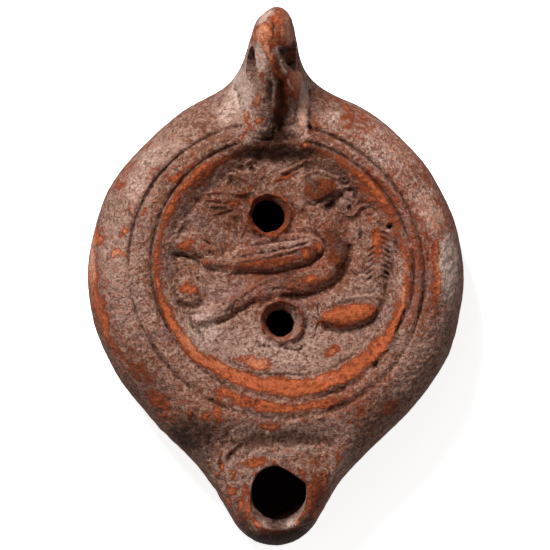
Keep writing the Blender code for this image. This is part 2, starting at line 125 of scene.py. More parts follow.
HANDLE_UNDER_START = (36.5, 9.0)
HANDLE_SPREAD_START = 35.0
HANDLE_HOLE = (44.2, 34.0)
HANDLE_HOLE_RADII = (3.3, 5.6)
HANDLE_HOLE_LEAN = 30.0
# how the handle's hole runs through: x, the share of its radii there and how far it shifts towards the tip
HANDLE_HOLE_RUN = np.array([
    (-16.0, 1.0, 0.0), (-6.0, 0.84, 0.2), (-3.0, 0.8, 0.2), (1.0, 0.8, 0.6), (3.0, 0.74, 1.5), (16.0, 0.8, 1.6),
])
HANDLE_GROOVE_X = 1.0
HANDLE_GROOVE_DEPTH = 1.6
HANDLE_GROOVE_WIDTH = 3.4
HANDLE_GROOVE_NARROWING = 2.2
# the flank that has broken away beside the handle's hole, seen from above
HANDLE_BREAK = [(0.5, 47.1), (2.0, 47.7), (4.4, 47.5), (5.0, 46.0), (5.5, 43.6), (5.0, 42.5), (4.2, 42.5),
                (2.9, 43.0), (1.6, 44.5), (0.7, 46.2)]
HANDLE_BREAK_DEPTH = 2.8
HANDLE_BREAK_CORNERS = 0.5

# Filling and air hole: the rim's centre and radius at the top, and the throat's further down
FILLING_HOLE = ((-1.2, 12.8), 3.75, (-1.5, 12.4), 3.35)
AIR_HOLE = ((1.4, -9.2), 3.6, (1.0, -9.8), 2.8)
LIP_HEIGHT = 1.5
LIP_HALF_WIDTH = 0.8
WICK_RIM = [(0.4, -39.3), (2.6, -40.3), (4.9, -41.8), (6.4, -43.1), (6.6, -44.8), (6.2, -47.4), (4.9, -50.1),
            (2.7, -52.0), (0.4, -52.7), (-1.9, -52.1), (-3.9, -50.4), (-4.9, -48.0), (-5.0, -45.6), (-4.7, -43.0),
            (-3.6, -40.9), (-1.8, -39.7)]
# rings of those holes' cutters: how far from throat to rim, how much wider, the level above the disc's floor and
# how uneven
HOLE_RINGS = [(0, 0, -10.3, 0.03), (0, 0, -1.8, 0.03), (0.5, -0.15, -0.6, 0.04), (1, 0, 0.5, 0.05),
              (1, 0.5, 1.5, 0.05), (1, 1.8, 5, 0.03)]
WICK_MIDDLE = (0.8, -46.0)
WICK_RADII = (5.8, 6.7)
WICK_THROAT_CENTRE = (0.8, -43.9)
WICK_THROAT_RADII = (6.4, 4.9)
WICK_THROAT_DROP = 4.5
# rings of the wick hole's rim: the level above the nozzle's top and the share of the rim's size
WICK_RINGS = ((-0.9, 0.99), (0.3, 1.04), (4.0, 1.15))

# How finely the clay is divided
DISC_CELLS = 176
RIM_RINGS = 34
SHOULDER_RINGS = 34
UNDERSIDE_RINGS = 30
CAVITY_CELLS = 20
CAVITY_RINGS = 8
HOLE_SIDES = 72
SPOKE_CROWDING = 0.4
RING_CROWDING = 0.55

# Random unevenness: the size of its lumps in millimetres and its seed
EDGE_UNEVENNESS = 0.3
EDGE_LUMPS = (9.0, 71)
INNER_GROOVE_LUMPS, OUTER_GROOVE_LUMPS = (6.0, 3), (7.0, 4)
FIGURE_LUMPS, LINE_LUMPS = (2.4, 11), (1.5, 13)
CLOUDS, SOOT_LUMPS = (8.0, 61), (2.5, 62)
FILLING_LIP_SEED, AIR_LIP_SEED = 21, 22
FILLING_HOLE_SEED, AIR_HOLE_SEED = 33, 34

# The disc's figures, each a rounded form along a curve: its height, then x, y and the half width at each point
FORMS = [
    (1.8, -14, 3, 1.6, -9.4, 3, 2.5, -5.2, 3.4, 3.2, 0, 4.3, 3.6, 5.2, 5.5, 3.5, 7.4, 6.1, 2.8),
    (1.5, 8.6, 14, 2.6, 12.1, 8.6, 2.6, 12.6, 4.5, 2.9, 11, 1.4, 3, 7.3, -0.7, 2.9, 2.1, -1.5, 2.7, -2.7, -2.4, 2.6,
     -7.3, -4.6, 2.6, -11.5, -7, 2.6, -15.7, -9.1, 1.6),
    (1.5, -20.2, 6.6, 2.2, -17.4, 7, 3, -14.5, 5.8, 2.4, -12, 4.6, 1.2),
    (0.6, -19.6, 0.2, 1.6, -15.5, 0.3, 1.9, -11, 0.6, 1.2), (1.6, 7.4, 17.6, 3.5, 9.6, 18.4, 3.8),
    (1.2, 5.4, 15, 1.9, 6, 17, 2.2), (1.1, 10.5, 18.6, 2.6, 12.6, 18.6, 1.9),
    (1.3, 20.1, 10.8, 1.9, 21, 7.5, 2.8, 21.3, 3.5, 2.8, 20.8, 0.2, 1.8), (0.9, 17, 1.8, 1.5, 17.3, 1.7, 1.5),
    (0.9, 15.4, 14.6, 2.8, 15.8, 14.6, 2.8), (1.4, -18.2, -2.3, 3.3, -17.6, -2.9, 3.3),
    (1.4, 9.6, -8.8, 0.9, 12.5, -8.2, 2.2, 16, -7.9, 2.7, 19.3, -7.3, 2),
    (0.7, 13, -3.6, 1.7, 17.5, -2, 2.2, 21.8, -0.6, 1.8), (0.5, 4.6, -5.6, 1.2, 9, -4.9, 1.5, 13.5, -3.2, 1.4),
    (0.7, -11, 15, 2, -7.5, 17.8, 2.6, -4.9, 21.2, 2.8),
]

FORM_SPREAD = 1.22
FORM_FALL = 1.5
FIGURE_HEIGHT = 1.2
FIGURE_BLEND = 0.3

# Fine ridges (plus) and scored lines (minus): the height and the half width, then x and y at each point
LINE_HEIGHT = 1.3
LINES = [
    # the long limb: its rounded edge, and the folds along it
    (0.45, 0.38, -4, 7.3, 0.5, 8.1, 4.5, 8.5, 7.6, 8.3, 9.3, 7.2, 9.8, 5.8, 8.9, 4.4),
    (-0.42, 0.3, -5.6, 6.2, -2, 6.7, 1.5, 7.2, 4.4, 7.7, 6.2, 7.9), (0.3, 0.3, -5, 5.5, -1, 6.2, 3, 6.8, 6.6, 7.3),
    (-0.5, 0.3, -8.8, 3.8, -5.6, 4.3, -2.2, 4.9, 1.5, 5.6, 4.5, 6.3, 7.6, 7.2),
    (0.35, 0.35, -8, 3.2, -4.4, 3.6, -0.5, 4.4, 3, 5.3, 6, 6.2, 8.2, 6.6), (-0.3, 0.32, 0.2, 3.9, 2.6, 4.5, 5.2, 5.3),
    (-0.75, 0.75, -8.5, 0.9, -4.5, 0.7, 0, 0.6, 4, 1.3, 7.4, 2.5, 9.9, 4.9),
    # foot at its left end, with two short slashes and the hollow under it
    (0.45, 0.4, -21.8, 6.6, -20.9, 8.6, -19.4, 10.8, -17.6, 12.8),
    (-0.85, 0.55, -21, 4.3, -18.6, 4.3, -16.8, 3.6, -15.1, 2.5), (-0.45, 0.35, -17, 4.6, -15.2, 3.8, -13.4, 3.2),
    (-0.6, 0.3, -15.3, 7.7, -14.2, 7.2, -13.1, 6.7), (0.4, 0.28, -14.8, 8.2, -13.4, 7.4, -12, 6.4),
    (-0.65, 0.33, -13.9, 5.3, -13, 4.9, -12.3, 4.6), (0.4, 0.28, -13.6, 6.4, -12.5, 5.7, -11.8, 5),
    # locks and a ring of hair round the filling hole
    (0.5, 0.38, -10.4, 18, -9, 17.4, -7.6, 17, -6.2, 17.1, -4.8, 17.8),
    (-0.75, 0.75, -10, 19.9, -8.4, 19.3, -6.6, 18.3),
    (0.45, 0.35, -10, 20.6, -8.7, 21.3, -7.2, 20.6, -5.8, 19.8, -4.6, 19.2),
    (0.4, 0.3, -9.2, 22.4, -7.6, 21.9, -6.2, 20.9, -5, 20.2),
    (0.4, 0.32, -6.6, 22.6, -5.6, 23.8, -4, 24, -2.7, 23, -2.4, 21.4, -3.2, 20),
    (-0.5, 0.5, -5.2, 22.6, -4.6, 22.2, -3.8, 21.7), (0.35, 0.28, -15.2, 17, -12.8, 17.6, -10.6, 17.5),
    (0.32, 0.28, -15, 16.2, -13, 15.8, -11, 16.1), (-0.45, 0.3, -13.6, 14.4, -12, 14.1, -9.8, 14.3),
    (0.4, 0.3, -13.4, 12.5, -12, 13.3, -10, 13.8, -8.4, 14.2), (-0.35, 0.3, -12.8, 15.2, -11, 15, -9, 15.3),
    (0.42, 0.32, -9.2, 12.4, -7.8, 12.8, -6.6, 12, -6.3, 10.6, -6.7, 9, -7.4, 8),
    (-0.45, 0.38, -9.2, 11.2, -8.2, 11.7, -7.6, 10.8), (0.3, 0.26, -9.9, 12.2, -8.8, 11.3, -8.2, 9.8, -8.6, 8.6),
    (0.3, 0.26, -11.2, 11.9, -10, 10.8, -9.6, 9.2),
    # strands that slant up to the right of the ring
    (0.45, 0.34, 0.6, 21.1, 2.6, 22.1, 4.6, 23.2, 6.8, 24), (-0.25, 0.34, 1.6, 20.8, 3.4, 21.6, 5.4, 22.7),
    (0.35, 0.3, -0.6, 19.7, 1.2, 20.3, 3, 20.3), (-0.22, 0.3, 2.4, 19.9, 4.2, 21, 5.6, 22),
    (0.3, 0.28, 0.4, 19.2, 1.6, 19.5, 2.8, 20.2),
    # head: its lit rim, the ribbon behind it and the deep hollow under it
    (0.55, 0.4, 4.3, 15.4, 4.2, 17.4, 4.9, 19.3, 6.4, 20.9, 8.2, 21.8, 10.2, 21.6, 12, 20.7, 13.6, 20.2),
    (-0.35, 0.4, 7.6, 20.2, 8.4, 18.6, 8, 17.2), (0.3, 0.35, 6.6, 14.2, 7.6, 13.8, 8.4, 14.6),
    (-0.5, 0.45, 6.6, 15.2, 8.2, 14.9, 10.2, 15.8, 12.6, 17.2),
    (-1.15, 1.05, 9.8, 13.8, 11.4, 14.6, 12.9, 16.2, 14.4, 17.4), (0.4, 0.3, 12.6, 18.1, 14.2, 18.5, 15.9, 18.8),
    (-0.45, 0.4, 13.4, 19.4, 14.6, 19.3, 15.8, 19.6), (-0.6, 0.55, 14.8, 17.7, 16, 18, 16.8, 17.2, 16.4, 15.8),
    # curl
    (0.75, 0.36, 14, 16, 14.8, 16.5, 15.8, 16.2, 16.3, 15.2),
    (0.6, 0.36, 14, 16, 13.8, 14.6, 14.4, 13.2, 15.6, 12.6, 16.8, 13.2, 17.6, 14.3, 19, 15),
    (-0.95, 0.62, 15.2, 14.9, 15.7, 14.1, 16.1, 14.3), (0.55, 0.32, 17.4, 17.6, 17.3, 16.2, 16.9, 14.6),
    (0.35, 0.26, 18.6, 16.3, 19.6, 15.6, 20.2, 15.8, 21.2, 14.8), (-0.4, 0.4, 19.2, 14.4, 20.2, 14.2, 21.6, 13.4),
    # wing: its top edge, a small hook and the ground beside it
    (0.45, 0.36, 18, 11.2, 19.2, 12, 20.8, 12.1, 22.2, 11.4, 23, 10.8),
    (0.6, 0.3, 22.9, 10.5, 23.6, 11.1, 24.5, 11.3), (-0.8, 0.45, 23.3, 10.2, 24, 10.4, 24.6, 10.6),
    (-0.45, 0.45, 18, 9.6, 17.6, 7.6, 17.9, 5.8), (-0.4, 0.5, 24.6, 8.8, 25.2, 6.6, 25, 4.2),
    # the coil's shaded outer side, its upper edge and the ground lines
    (-0.85, 1.1, 1, -4.3, 5.5, -4.3, 9.6, -3.3, 12.6, -1.3, 14.5, 1.2, 15.3, 4, 15.2, 7),
    (0.35, 0.34, -1, -0.6, -3.8, -1.8, -6.2, -3.4, -8.6, -5.2, -10.6, -7),
    (-0.5, 0.6, -3.6, -4.9, -6.6, -6.7, -9.4, -8.5, -12.4, -9.9), (-0.3, 0.32, -2.8, -3.2, 0.6, -2.6, 3.6, -2.8),
    (0.3, 0.3, 3.6, -0.4, 4.4, -0.8, 4.9, -1.7), (0.3, 0.32, 12, 2, 12.9, 2.9, 13.6, 3.6),
    (0.28, 0.3, 7.6, 1.2, 8.6, 1.5, 9.6, 1), (0.35, 0.36, 12.4, -2.4, 14.8, -1.2, 17, -0.2, 19.6, 0.1),
    (-0.5, 0.5, 23.3, 0.6, 23, -2, 22.6, -4.4, 21.9, -6.6, 20.8, -8.4),
    (0.35, 0.4, 10.2, -6.4, 13.4, -5, 17, -4.1, 20.4, -4.1, 22, -5.2),
    (-0.7, 0.75, 9.6, -10.9, 13, -11.4, 16.6, -11.2, 19.6, -9.8, 21.3, -7.8),
    (-0.4, 0.2, 8.8, -5.4, 9, -7.2, 9.2, -9.2, 8.5, -11.4, 8, -13.2),
    # knob: dents and the hollow under it
    (-0.5, 0.6, -20.6, -5, -18.6, -6.1, -16.2, -6.2, -14.6, -5), (-0.35, 0.35, -18.9, -4.1, -18, -4.6, -17.4, -4.2),
    (-0.35, 0.35, -16.8, -4.3, -16.3, -3.9, -15.8, -4.1), (-0.35, 0.35, -20.8, -1.2, -21, -2.8, -20.4, -4.2),
    (0.3, 0.36, -21.2, -0.8, -19.6, 0.8, -17.4, 1.5, -15, 1.6), (-0.25, 0.3, -19.6, -7.4, -17.8, -7.7, -15.9, -7.4),
    # ground below the air hole: scratches and worn folds
    (-0.35, 0.18, -4, -13.2, -3.2, -14.4, -2.4, -15.3), (-0.4, 0.22, 6.2, -14, 5, -15.3, 3.4, -15.2, 1.8, -14.8),
    (-0.25, 0.35, -6, -19.9, -3, -20.3, 1, -20.3, 6, -20.4), (-0.22, 0.4, 11, -19.4, 14, -17.8, 16.6, -15.6),
    (-0.25, 0.35, -8.8, -17.6, -7.2, -18.6, -5.4, -19.1),
    # rim: a slot, a flake and the fine double line on the right
    (-0.75, 0.36, 27.2, -6.6, 26.6, -8.4, 25.8, -10.2, 24.9, -12.2), (0.35, 0.2, 27.7, -7.4, 27, -9.4, 25.4, -12.6),
    (-0.5, 0.4, 20.3, -18.9, 20.9, -18.2, 21.6, -17.4), (0.3, 0.22, 20.4, -16, 22.2, -15.6, 23.4, -14.8, 24, -14.2),
    (-0.35, 0.28, 28.6, 6, 29.1, 2, 29.1, -1.4, 28.6, -4.2), (-0.45, 0.4, 31.7, 7.4, 32, 3.6, 31.8, -0.4, 31.2, -4.4),
    # handle: the two strands, the gouge between them and the step at its right foot
    (-1.1, 1.25, 0.6, 41, 1.2, 38.4, 1.6, 35.4, 1.4, 32.2, 1, 29.6),
    (-0.5, 0.28, -0.9, 43.2, -0.9, 40.6, -0.8, 38.4, -0.8, 36.2),
    (0.5, 0.38, -1.6, 48, -1.2, 45.6, -0.3, 43, 0.8, 41.4, 1.6, 40.6),
    (0.5, 0.42, 0.2, 47.2, 1.4, 44.4, 2.8, 41.6, 3.3, 39, 3.6, 37),
    (0.5, 1.45, 5.6, 41.6, 5.7, 38, 5.8, 34, 5.7, 31, 6.6, 28.6, 8.6, 26.6),
    (0.8, 0.95, 5.2, 42.8, 5.7, 40.4, 6, 37.6, 6, 34.8),
    (-0.6, 0.42, 7.2, 39, 7.2, 36, 7.3, 33, 7.7, 30.4, 9.4, 28.6, 12, 27), (0.8, 0.9, 4.8, 42.6, 4.7, 40.6, 4.3, 38),
    (-0.3, 0.3, -8.6, 28.6, -10.4, 27.6, -12.6, 26.6),
    # nozzle: valley, front ridge, the slanting nicks and the plate's side grooves
    (-0.25, 1.1, -6, -34.4, -4, -34.3, 1, -34.2, 6, -34.3, 10, -34.2),
    (0.45, 0.5, -5, -36.4, -1, -36, 3, -35.6, 8, -35.4, 11, -35.4),
    (-0.75, 0.35, -6.6, -34.6, -8, -36, -9.2, -37.2, -10.2, -38.2),
    (-0.45, 0.32, -11.2, -37, -11.4, -39.4, -11, -42, -10.4, -44.4),
    (-0.4, 0.32, -13.6, -33.8, -13.8, -36, -13.4, -38.6, -12.6, -41.6),
    (-0.45, 0.4, 11.4, -37.4, 11.6, -40.4, 11, -44, 9.8, -47.6, 8.4, -50.4),
    (0.3, 0.4, -0.5, -37.8, 2, -38.2, 4.4, -38.8), (-0.25, 0.3, -5.5, -32.4, -3.8, -33, -1.8, -33.4),
    (0.22, 0.16, 8.6, -28.4, 9.4, -29.6, 10.6, -30.4), (0.22, 0.16, 8, -29.4, 9.6, -29.4, 11, -28.8),
    (0.22, 0.16, 2.6, -30.8, 5, -30.2, 7.4, -29.2),
]

# Small pits: place, radius and depth
PITS = [
    (-23.6, 18.6, 0.3, 0.6), (-15.8, -7.9, 0.4, 0.6), (-14, -10.9, 0.28, 0.4), (-11.7, -11.4, 0.25, 0.4),
    (-11.8, -12.7, 0.25, 0.4), (-17.2, -1.4, 0.28, 0.5), (-16, -0.2, 0.26, 0.5), (-2.2, -14.6, 0.45, 0.9),
    (-1.2, -14.7, 0.32, 0.8), (26.5, 17, 0.5, 0.6), (25.8, 13, 0.3, 0.5), (35.4, 2.4, 0.35, 0.5),
    (-23.9, -11.5, 0.35, 0.7), (-32.4, 14.7, 0.45, 0.5), (-34, 10.2, 0.25, 0.4), (-33.9, 18, 0.25, 0.4),
    (-38.1, -1.1, 0.35, 0.5), (-26.7, -0.2, 0.5, 0.6), (-37, -7, 0.4, 0.5), (-31, -2.8, 0.45, 0.6),
    (-32.8, -3, 0.4, 0.5), (-3.8, -25.9, 0.35, 0.5), (-14.8, -17.8, 0.25, 0.4), (6.2, -10.4, 0.5, 0.7),
    (23.9, 10.3, 0.45, 0.6), (14.4, 20.1, 0.26, 0.5), (12.6, 4.6, 0.35, 0.4), (9, 1.8, 0.35, 0.5),
    (-0.4, 53, 0.45, 0.7), (-1.1, 50.6, 0.42, 0.7), (-0.5, 46.8, 0.25, 0.4), (0.2, 55.5, 0.25, 0.4),
    (0.7, 52.4, 0.3, 0.5), (20.8, -18.6, 0.7, 0.7), (25, 6.9, 0.5, 0.6), (-4.8, 22.4, 0.35, 0.5),
    (7.9, -46, 0.3, 0.5), (9.2, -37.6, 0.3, 0.4), (12.8, -39.2, 0.3, 0.4), (5, -15.8, 0.3, 0.4),
    (-13.8, -37.8, 0.4, 0.5), (-7, 22.6, 0.4, 0.5), (-12.6, 21.6, 0.3, 0.4), (-16, 15.8, 0.5, 0.5),
]

# Crumbs of clay squeezed up round the air hole: place, radius and height
CRUMBS = [
    (-2.5, -7.6, 0.55, 0.7), (-1.6, -6.7, 0.6, 0.8), (-0.6, -6, 0.5, 0.6), (3.2, -6, 0.6, 0.6), (4.4, -6.9, 0.6, 0.7),
    (5.3, -8.2, 0.55, 0.6), (6.3, -8.6, 0.45, 0.5), (5.8, -10.8, 0.45, 0.5), (5, -12, 0.5, 0.5),
    (3.9, -12.9, 0.45, 0.5), (-2.4, -9.4, 0.4, 0.5), (-1.9, -11.2, 0.4, 0.4),
]

# Where the slip has worn through to the orange clay: place, half sizes, turn in degrees and how far
WORN = [
    # body: its left edge, the upper left, and the rubbed right shoulder
    (-37.4, 8.4, 1.6, 2.6, 10, 1), (-38.3, 2, 1.3, 5.5, 0, 1), (-37.2, -4.2, 1.2, 3.4, 15, 1),
    (-35.6, -9.6, 1, 5, 20, 0.8), (-33, -15.5, 0.8, 3, 30, 0.5), (-32.2, 19, 1.4, 1, 30, 0.6),
    (-33, 5, 0.9, 0.7, -40, 0.7), (-31.4, 4.6, 1.2, 0.4, -30, 0.8), (-31.3, 9.6, 0.6, 0.7, 0, 0.7),
    (-32, 8.4, 0.7, 0.4, 0, 0.7), (-27, 27, 1.6, 1, 40, 0.4), (-31, 22, 1.6, 3.6, -30, 0.4),
    (33.6, 1, 0.9, 7.5, 0, 0.8), (27, 27, 7, 5, -45, 0.48), (33, 14, 3.6, 7, 20, 0.5), (18, 32, 6, 2.6, -20, 0.45),
    (14.6, 35.6, 4, 0.7, -27, 0.6), (24, -27, 2, 1.2, 45, 0.5), (-24, -26, 5, 2, -48, 0.4),
    (-17.6, -29, 0.6, 1.6, 0, 0.7), (-14, -29.4, 0.8, 0.8, 0, 0.8), (-28, -20, 2, 5, 40, 0.35),
    (-12, -27.6, 0.8, 3, 0, 0.5), (18, -28, 3, 1, 35, 0.3),
    # figures
    (-18.8, 6.8, 1.7, 1.1, 20, 0.7), (-8.2, 15.7, 1.5, 0.8, 0, 0.8), (-5, 15.5, 0.7, 0.7, 0, 0.7),
    (-5, 18.5, 0.7, 0.7, 0, 0.7), (6.8, 18.5, 0.9, 1.7, 0, 0.6), (10.4, 18.8, 2, 1.8, 0, 0.8),
    (8.4, 16.7, 1.6, 0.7, 10, 0.6), (21.2, 7.2, 1.4, 3.6, 0, 0.75), (-1.5, 2.9, 6.5, 0.9, 9, 0.6),
    (6.7, 4.8, 1.3, 1.3, 0, 0.85), (9, 6.3, 0.7, 0.9, 0, 0.7), (8, -0.7, 2, 0.7, 0, 0.5), (12, 4, 1, 1.5, 0, 0.5),
    (11, 8.2, 1, 0.8, 0, 0.5), (-18, -2.8, 2, 1.3, 0, 0.7), (15, -8.1, 5.6, 1.9, 12, 1),
    # ground of the disc and the band round it
    (-15.5, 21, 3.4, 2, 42, 0.6), (-20.5, 20.8, 1.4, 1, 40, 0.5), (-21.5, 15, 0.9, 1.6, -20, 0.5),
    (-22.2, 12, 0.8, 1.2, 0, 0.4), (20.5, 17.5, 6, 2.4, -45, 0.6), (-4.2, -17.8, 3.3, 1.4, -14, 0.95),
    (12, -15.3, 2.2, 0.8, 12, 0.8), (-9, -20.5, 2.6, 0.9, -25, 0.5), (1.6, 20.4, 2.6, 0.7, 20, 0.5),
    # handle: tip, strands, the bright block and flecks down the front
    (-2.9, 50.1, 2.6, 1.9, 0, 1), (0.2, 53.8, 0.8, 2.2, -20, 0.6), (2.2, 53.4, 1.4, 2.6, 0, 0.95),
    (2.2, 50, 1.5, 2.6, 0, 0.9), (-1.5, 47.2, 0.8, 2.4, 8, 1), (-0.6, 44.4, 0.8, 1.8, 18, 1),
    (0.8, 41.6, 0.6, 1.8, 26, 0.9), (2, 39, 0.5, 1.4, 26, 0.6), (4.4, 40.8, 1.4, 2.2, 0, 1),
    (4, 38.2, 0.8, 2.2, 5, 1), (1.4, 36.6, 1.3, 5, 0, 0.9), (5.9, 35, 1.3, 6.4, 0, 0.35),
    (-3.2, 36.8, 0.5, 1.3, 0, 0.7), (-5.5, 32.6, 0.6, 2, 10, 0.85), (-6.3, 29.4, 0.5, 1.4, 0, 0.8),
    (-3, 32.6, 0.9, 0.6, 0, 0.8), (-2.2, 41, 0.35, 1.6, 0, 0.6), (6.4, 27.2, 1.2, 0.8, 0, 0.8),
    # nozzle: the wick hole's rubbed rim and flecks over the plate
    (0.6, -53.1, 3.4, 0.45, 0, 1), (-3.9, -51.1, 1.9, 0.45, -42, 1), (-5.4, -47, 0.4, 3, 4, 0.9),
    (5.2, -50.4, 2.4, 0.45, 50, 1), (7, -46.4, 0.45, 2.2, -6, 1), (-4.2, -38.6, 2.3, 0.7, 10, 0.95),
    (-9.3, -44.7, 0.8, 0.9, 0, 0.9), (-9.8, -46.8, 0.5, 1.2, 0, 0.8), (-7.2, -47.2, 0.8, 1.8, 0, 0.7),
    (-6.5, -44, 0.4, 1.5, -15, 0.8), (-11.4, -39, 0.45, 2.6, 0, 0.75), (-8.8, -40.3, 0.6, 0.5, 0, 0.9),
    (-7.2, -51, 1.2, 0.8, 0, 0.7), (5.6, -40.6, 1.6, 0.5, -35, 0.7), (8, -44.2, 1.9, 3.6, 0, 0.42),
    (10.6, -43.4, 0.6, 3.4, 4, 0.8), (8.4, -49.4, 1.2, 2, 20, 0.5), (9.2, -38.8, 2, 1.4, 0, 0.36),
    (-1, -31.1, 2.3, 0.8, 8, 1), (13, -37.6, 0.5, 1.6, -8, 0.7), (5, -36.6, 3.6, 0.5, 0, 0.4),
    (-12.2, -31.8, 0.6, 0.8, 0, 0.6), (-9, -36.6, 0.4, 1, -45, 0.7), (2, -54.2, 3, 0.6, 0, 0.4),
]

# Where the slip is pale and chalky, where it is redder, and where soot or soil darkens it, with light and shade painted
# in places
PALE_AND_LIT_PATCHES = [
    # handle: the left flank and the strip at the right, pale and brightened with painted light, the coat on the tip and
    # the strands
    (-7, 39, 2.6, 6.4, 12, 1), (-5.4, 46, 1.4, 5, 10, 1), (-3, 45.4, 1.1, 3.6, 6, 1), (-2.3, 53.5, 2.6, 1.1, 38, 1),
    (-2.9, 50.2, 2.2, 1.9, 0, 0.62), (-4.4, 36, 2.2, 5.6, 0, 0.6), (-9.6, 34.4, 2.6, 3.4, -30, 0.7),
    (0.6, 46.8, 0.6, 1.9, 20, 1), (1.9, 43.4, 0.6, 2, 24, 1), (2.8, 39.8, 0.35, 2, 14, 1), (6, 35.2, 1.3, 6.8, 0, 1),
    (-0.55, 39.6, 0.3, 3, 0, 0.9), (-6, 42, 1.6, 1.4, 0, 0.8),
    # body
    (-22, 27, 4.6, 3, 35, 0.5), (-29, 19, 4, 5, 0, 0.6), (-38, 4, 1.2, 7, 0, 0.75), (36.2, 2, 2.6, 10, 0, 0.84),
    (-33, 4, 4, 12, 0, 0.5), (-26, 24, 6, 3.4, 45, 0.6), (28, -18, 4, 8, -40, 0.28), (-30, -6, 3, 6, 20, 0.3),
    (24, 27, 12, 7, -45, 0.64), (12, 33, 3, 3, 0, 0.6), (4.4, 40.6, 1.2, 2.4, 0, 0.5),
    (-1.3, 46.6, 0.8, 2.6, 10, 0.7), (32, 14, 4, 8, 20, 0.72), (-6, 51, 1.4, 3, 15, 0.6),
    (2.4, 51.5, 1.4, 4, 0, 0.58),
    # disc: pale ground, with painted light over its lower part
    (3, 6.8, 5, 1.2, 10, 0.6), (19, -2, 3.4, 2.4, 0, 0.36), (-12, -1, 4, 2.6, 0, 0.3), (16, -4.6, 5, 1, 8, 0.5),
    (0, -15, 16, 6, 0, 0.56), (-15, -11, 5, 5, -40, 0.7), (26.4, 0, 1.2, 9, 0, 0.62), (9, -21, 5, 1, 10, 0.4),
    # nozzle, with painted light on the wick hole's inner slope
    (4, -35.9, 7, 0.9, 2, 0.6), (-8, -41, 4, 5, 0, 0.34), (0.6, -51.3, 4.4, 1.2, 0, 1), (4.6, -49, 1.6, 0.9, 45, 0.5),
    (-3, -36.6, 4, 1.2, -12, 0.5), (8.6, -39.4, 4, 5, 0, 0.2), (13.4, -40, 1.6, 5, -28, 0.6),
    (-14, -38, 2, 5, 28, 0.5), (0, -33.2, 10, 1.6, 0, 0.35), (4, -31.4, 10, 1.6, 0, 0.4),
]
RUDDY = [
    (26, 24, 13, 11, -45, 0.8), (30, 6, 5, 14, 0, 0.7), (9, -42, 3.6, 6, 0, 0.15), (2.2, 51.6, 1.8, 4.6, 0, 1),
    (9, 33, 3, 8, 0, 0.5), (0, -1, 14, 6, 0, 0.5), (0, 10, 12, 8, 0, 0.45), (12, 6, 6, 8, 0, 0.5),
    (18, -24, 9, 5, 35, 0.4), (-10, 14, 8, 6, 40, 0.4), (0, -26, 18, 3, 0, 0.3), (3.6, 45.4, 2.2, 2.4, 0, 0.8),
]
DARK_AND_SHADED_PATCHES = [
    # disc: painted shade under the rim and beside the figures, where they turn from the light
    (0, 26, 12, 2, 0, 1), (-13, 22, 6, 1.8, 38, 0.5), (14, 21.5, 6, 1.8, -40, 0.5), (9.4, 18.2, 4.6, 4, 0, 0.66),
    (12.6, 6, 3, 7, 0, 0.6), (-8, 14, 12, 8, 20, 0.5), (2, -0.2, 7, 1.2, 8, 0.65), (11, 14.6, 2, 1.2, 30, 0.8),
    (5, -3.9, 7, 0.8, 6, 0.6), (14.6, 3.6, 1, 4, -14, 0.6),
    # body: darker towards the bottom on both sides, and a little at the upper left
    (-27, -21, 7, 9, 40, 0.4), (-17, -33, 6, 5, -30, 0.85), (20, -28, 9, 4, 45, 0.42), (-14, 32, 5, 3, 35, 0.3),
    # nozzle: soot at the tip, darker flecks, and painted shade in the valley and along the wick hole's upper edge
    (0.6, -55.4, 8, 1.6, 0, 1), (7.6, -51.6, 2.6, 2.6, -40, 0.7), (-7, -51.6, 3, 2, 40, 0.7), (8, -44, 4, 6, 0, 0.54),
    (-8, -41, 4, 6, 0, 0.38), (-14.4, -38.6, 1.2, 4.4, 28, 0.5), (4.8, -41, 2, 0.6, -35, 0.6),
    (0.6, -38.9, 2.6, 0.4, 0, 0.6), (2, -34.4, 7, 0.6, 2, 0.5),
    # handle: the groove, the broken flank, the hole's mouth and cracks in the tip, and painted shadow where its foot
    # meets the disc
    (1.6, 34, 2, 5.6, 0, 0.9), (0.9, 40.2, 0.6, 1.8, 0, 0.8), (3.8, 44.4, 0.6, 0.6, 0, 1), (0.4, 29, 4.6, 2, 0, 1),
    (-1.1, 39.8, 0.35, 2.8, 0, 0.7), (-0.4, 51.8, 0.4, 2.4, -8, 0.9), (1.6, 51.6, 0.4, 1.6, 20, 0.6),
    (2.2, 54.6, 0.7, 1, 0, 0.6), (-4.9, 44.8, 0.9, 2.2, 8, 0.9), (-2.2, 34, 1.3, 3.6, 0, 0.45),
    (7.4, 34.5, 0.3, 4, 0, 0.5),
]


def smooth_min(a, b, blend):
    """The lower of two values, rounded where they come within the blend of each other."""
    share = np.clip(0.5 + 0.5 * (b - a) / blend, 0, 1)
    return b * (1 - share) + a * share - blend * share * (1 - share)


def smooth_max(a, b, blend):
    """The higher of two values, rounded likewise."""
    return -smooth_min(-a, -b, blend)


def ease(start, end, value):
    """Runs smoothly from 0 at start to 1 at end."""
    share = np.clip((value - start) / (end - start), 0, 1)
    return share * share * (3 - 2 * share)


def quarter(share, power=2.0):
    """A quarter of a rounded curve: 0 and steep at share 0, 1 and level at share 1."""
    share = np.clip(share, 0, 1)
    return (1 - (1 - share) ** power) ** (1 / power)


def mottle(x, y, size, seed):
    """Smooth, random ups and downs from -1 to 1 over a plan, with lumps about this size."""
    lattice = np.random.default_rng(seed).uniform(-1, 1, (64, 64))
    u, v = x / size + 500, y / size + 500
    i, j = np.floor(u).astype(int), np.floor(v).astype(int)
    a, b = u - i, v - j
    a, b = a * a * (3 - 2 * a), b * b * (3 - 2 * b)
    near = lattice[i % 64, j % 64] * (1 - a) + lattice[(i + 1) % 64, j % 64] * a
    far = lattice[i % 64, (j + 1) % 64] * (1 - a) + lattice[(i + 1) % 64, (j + 1) % 64] * a
    return near * (1 - b) + far * b


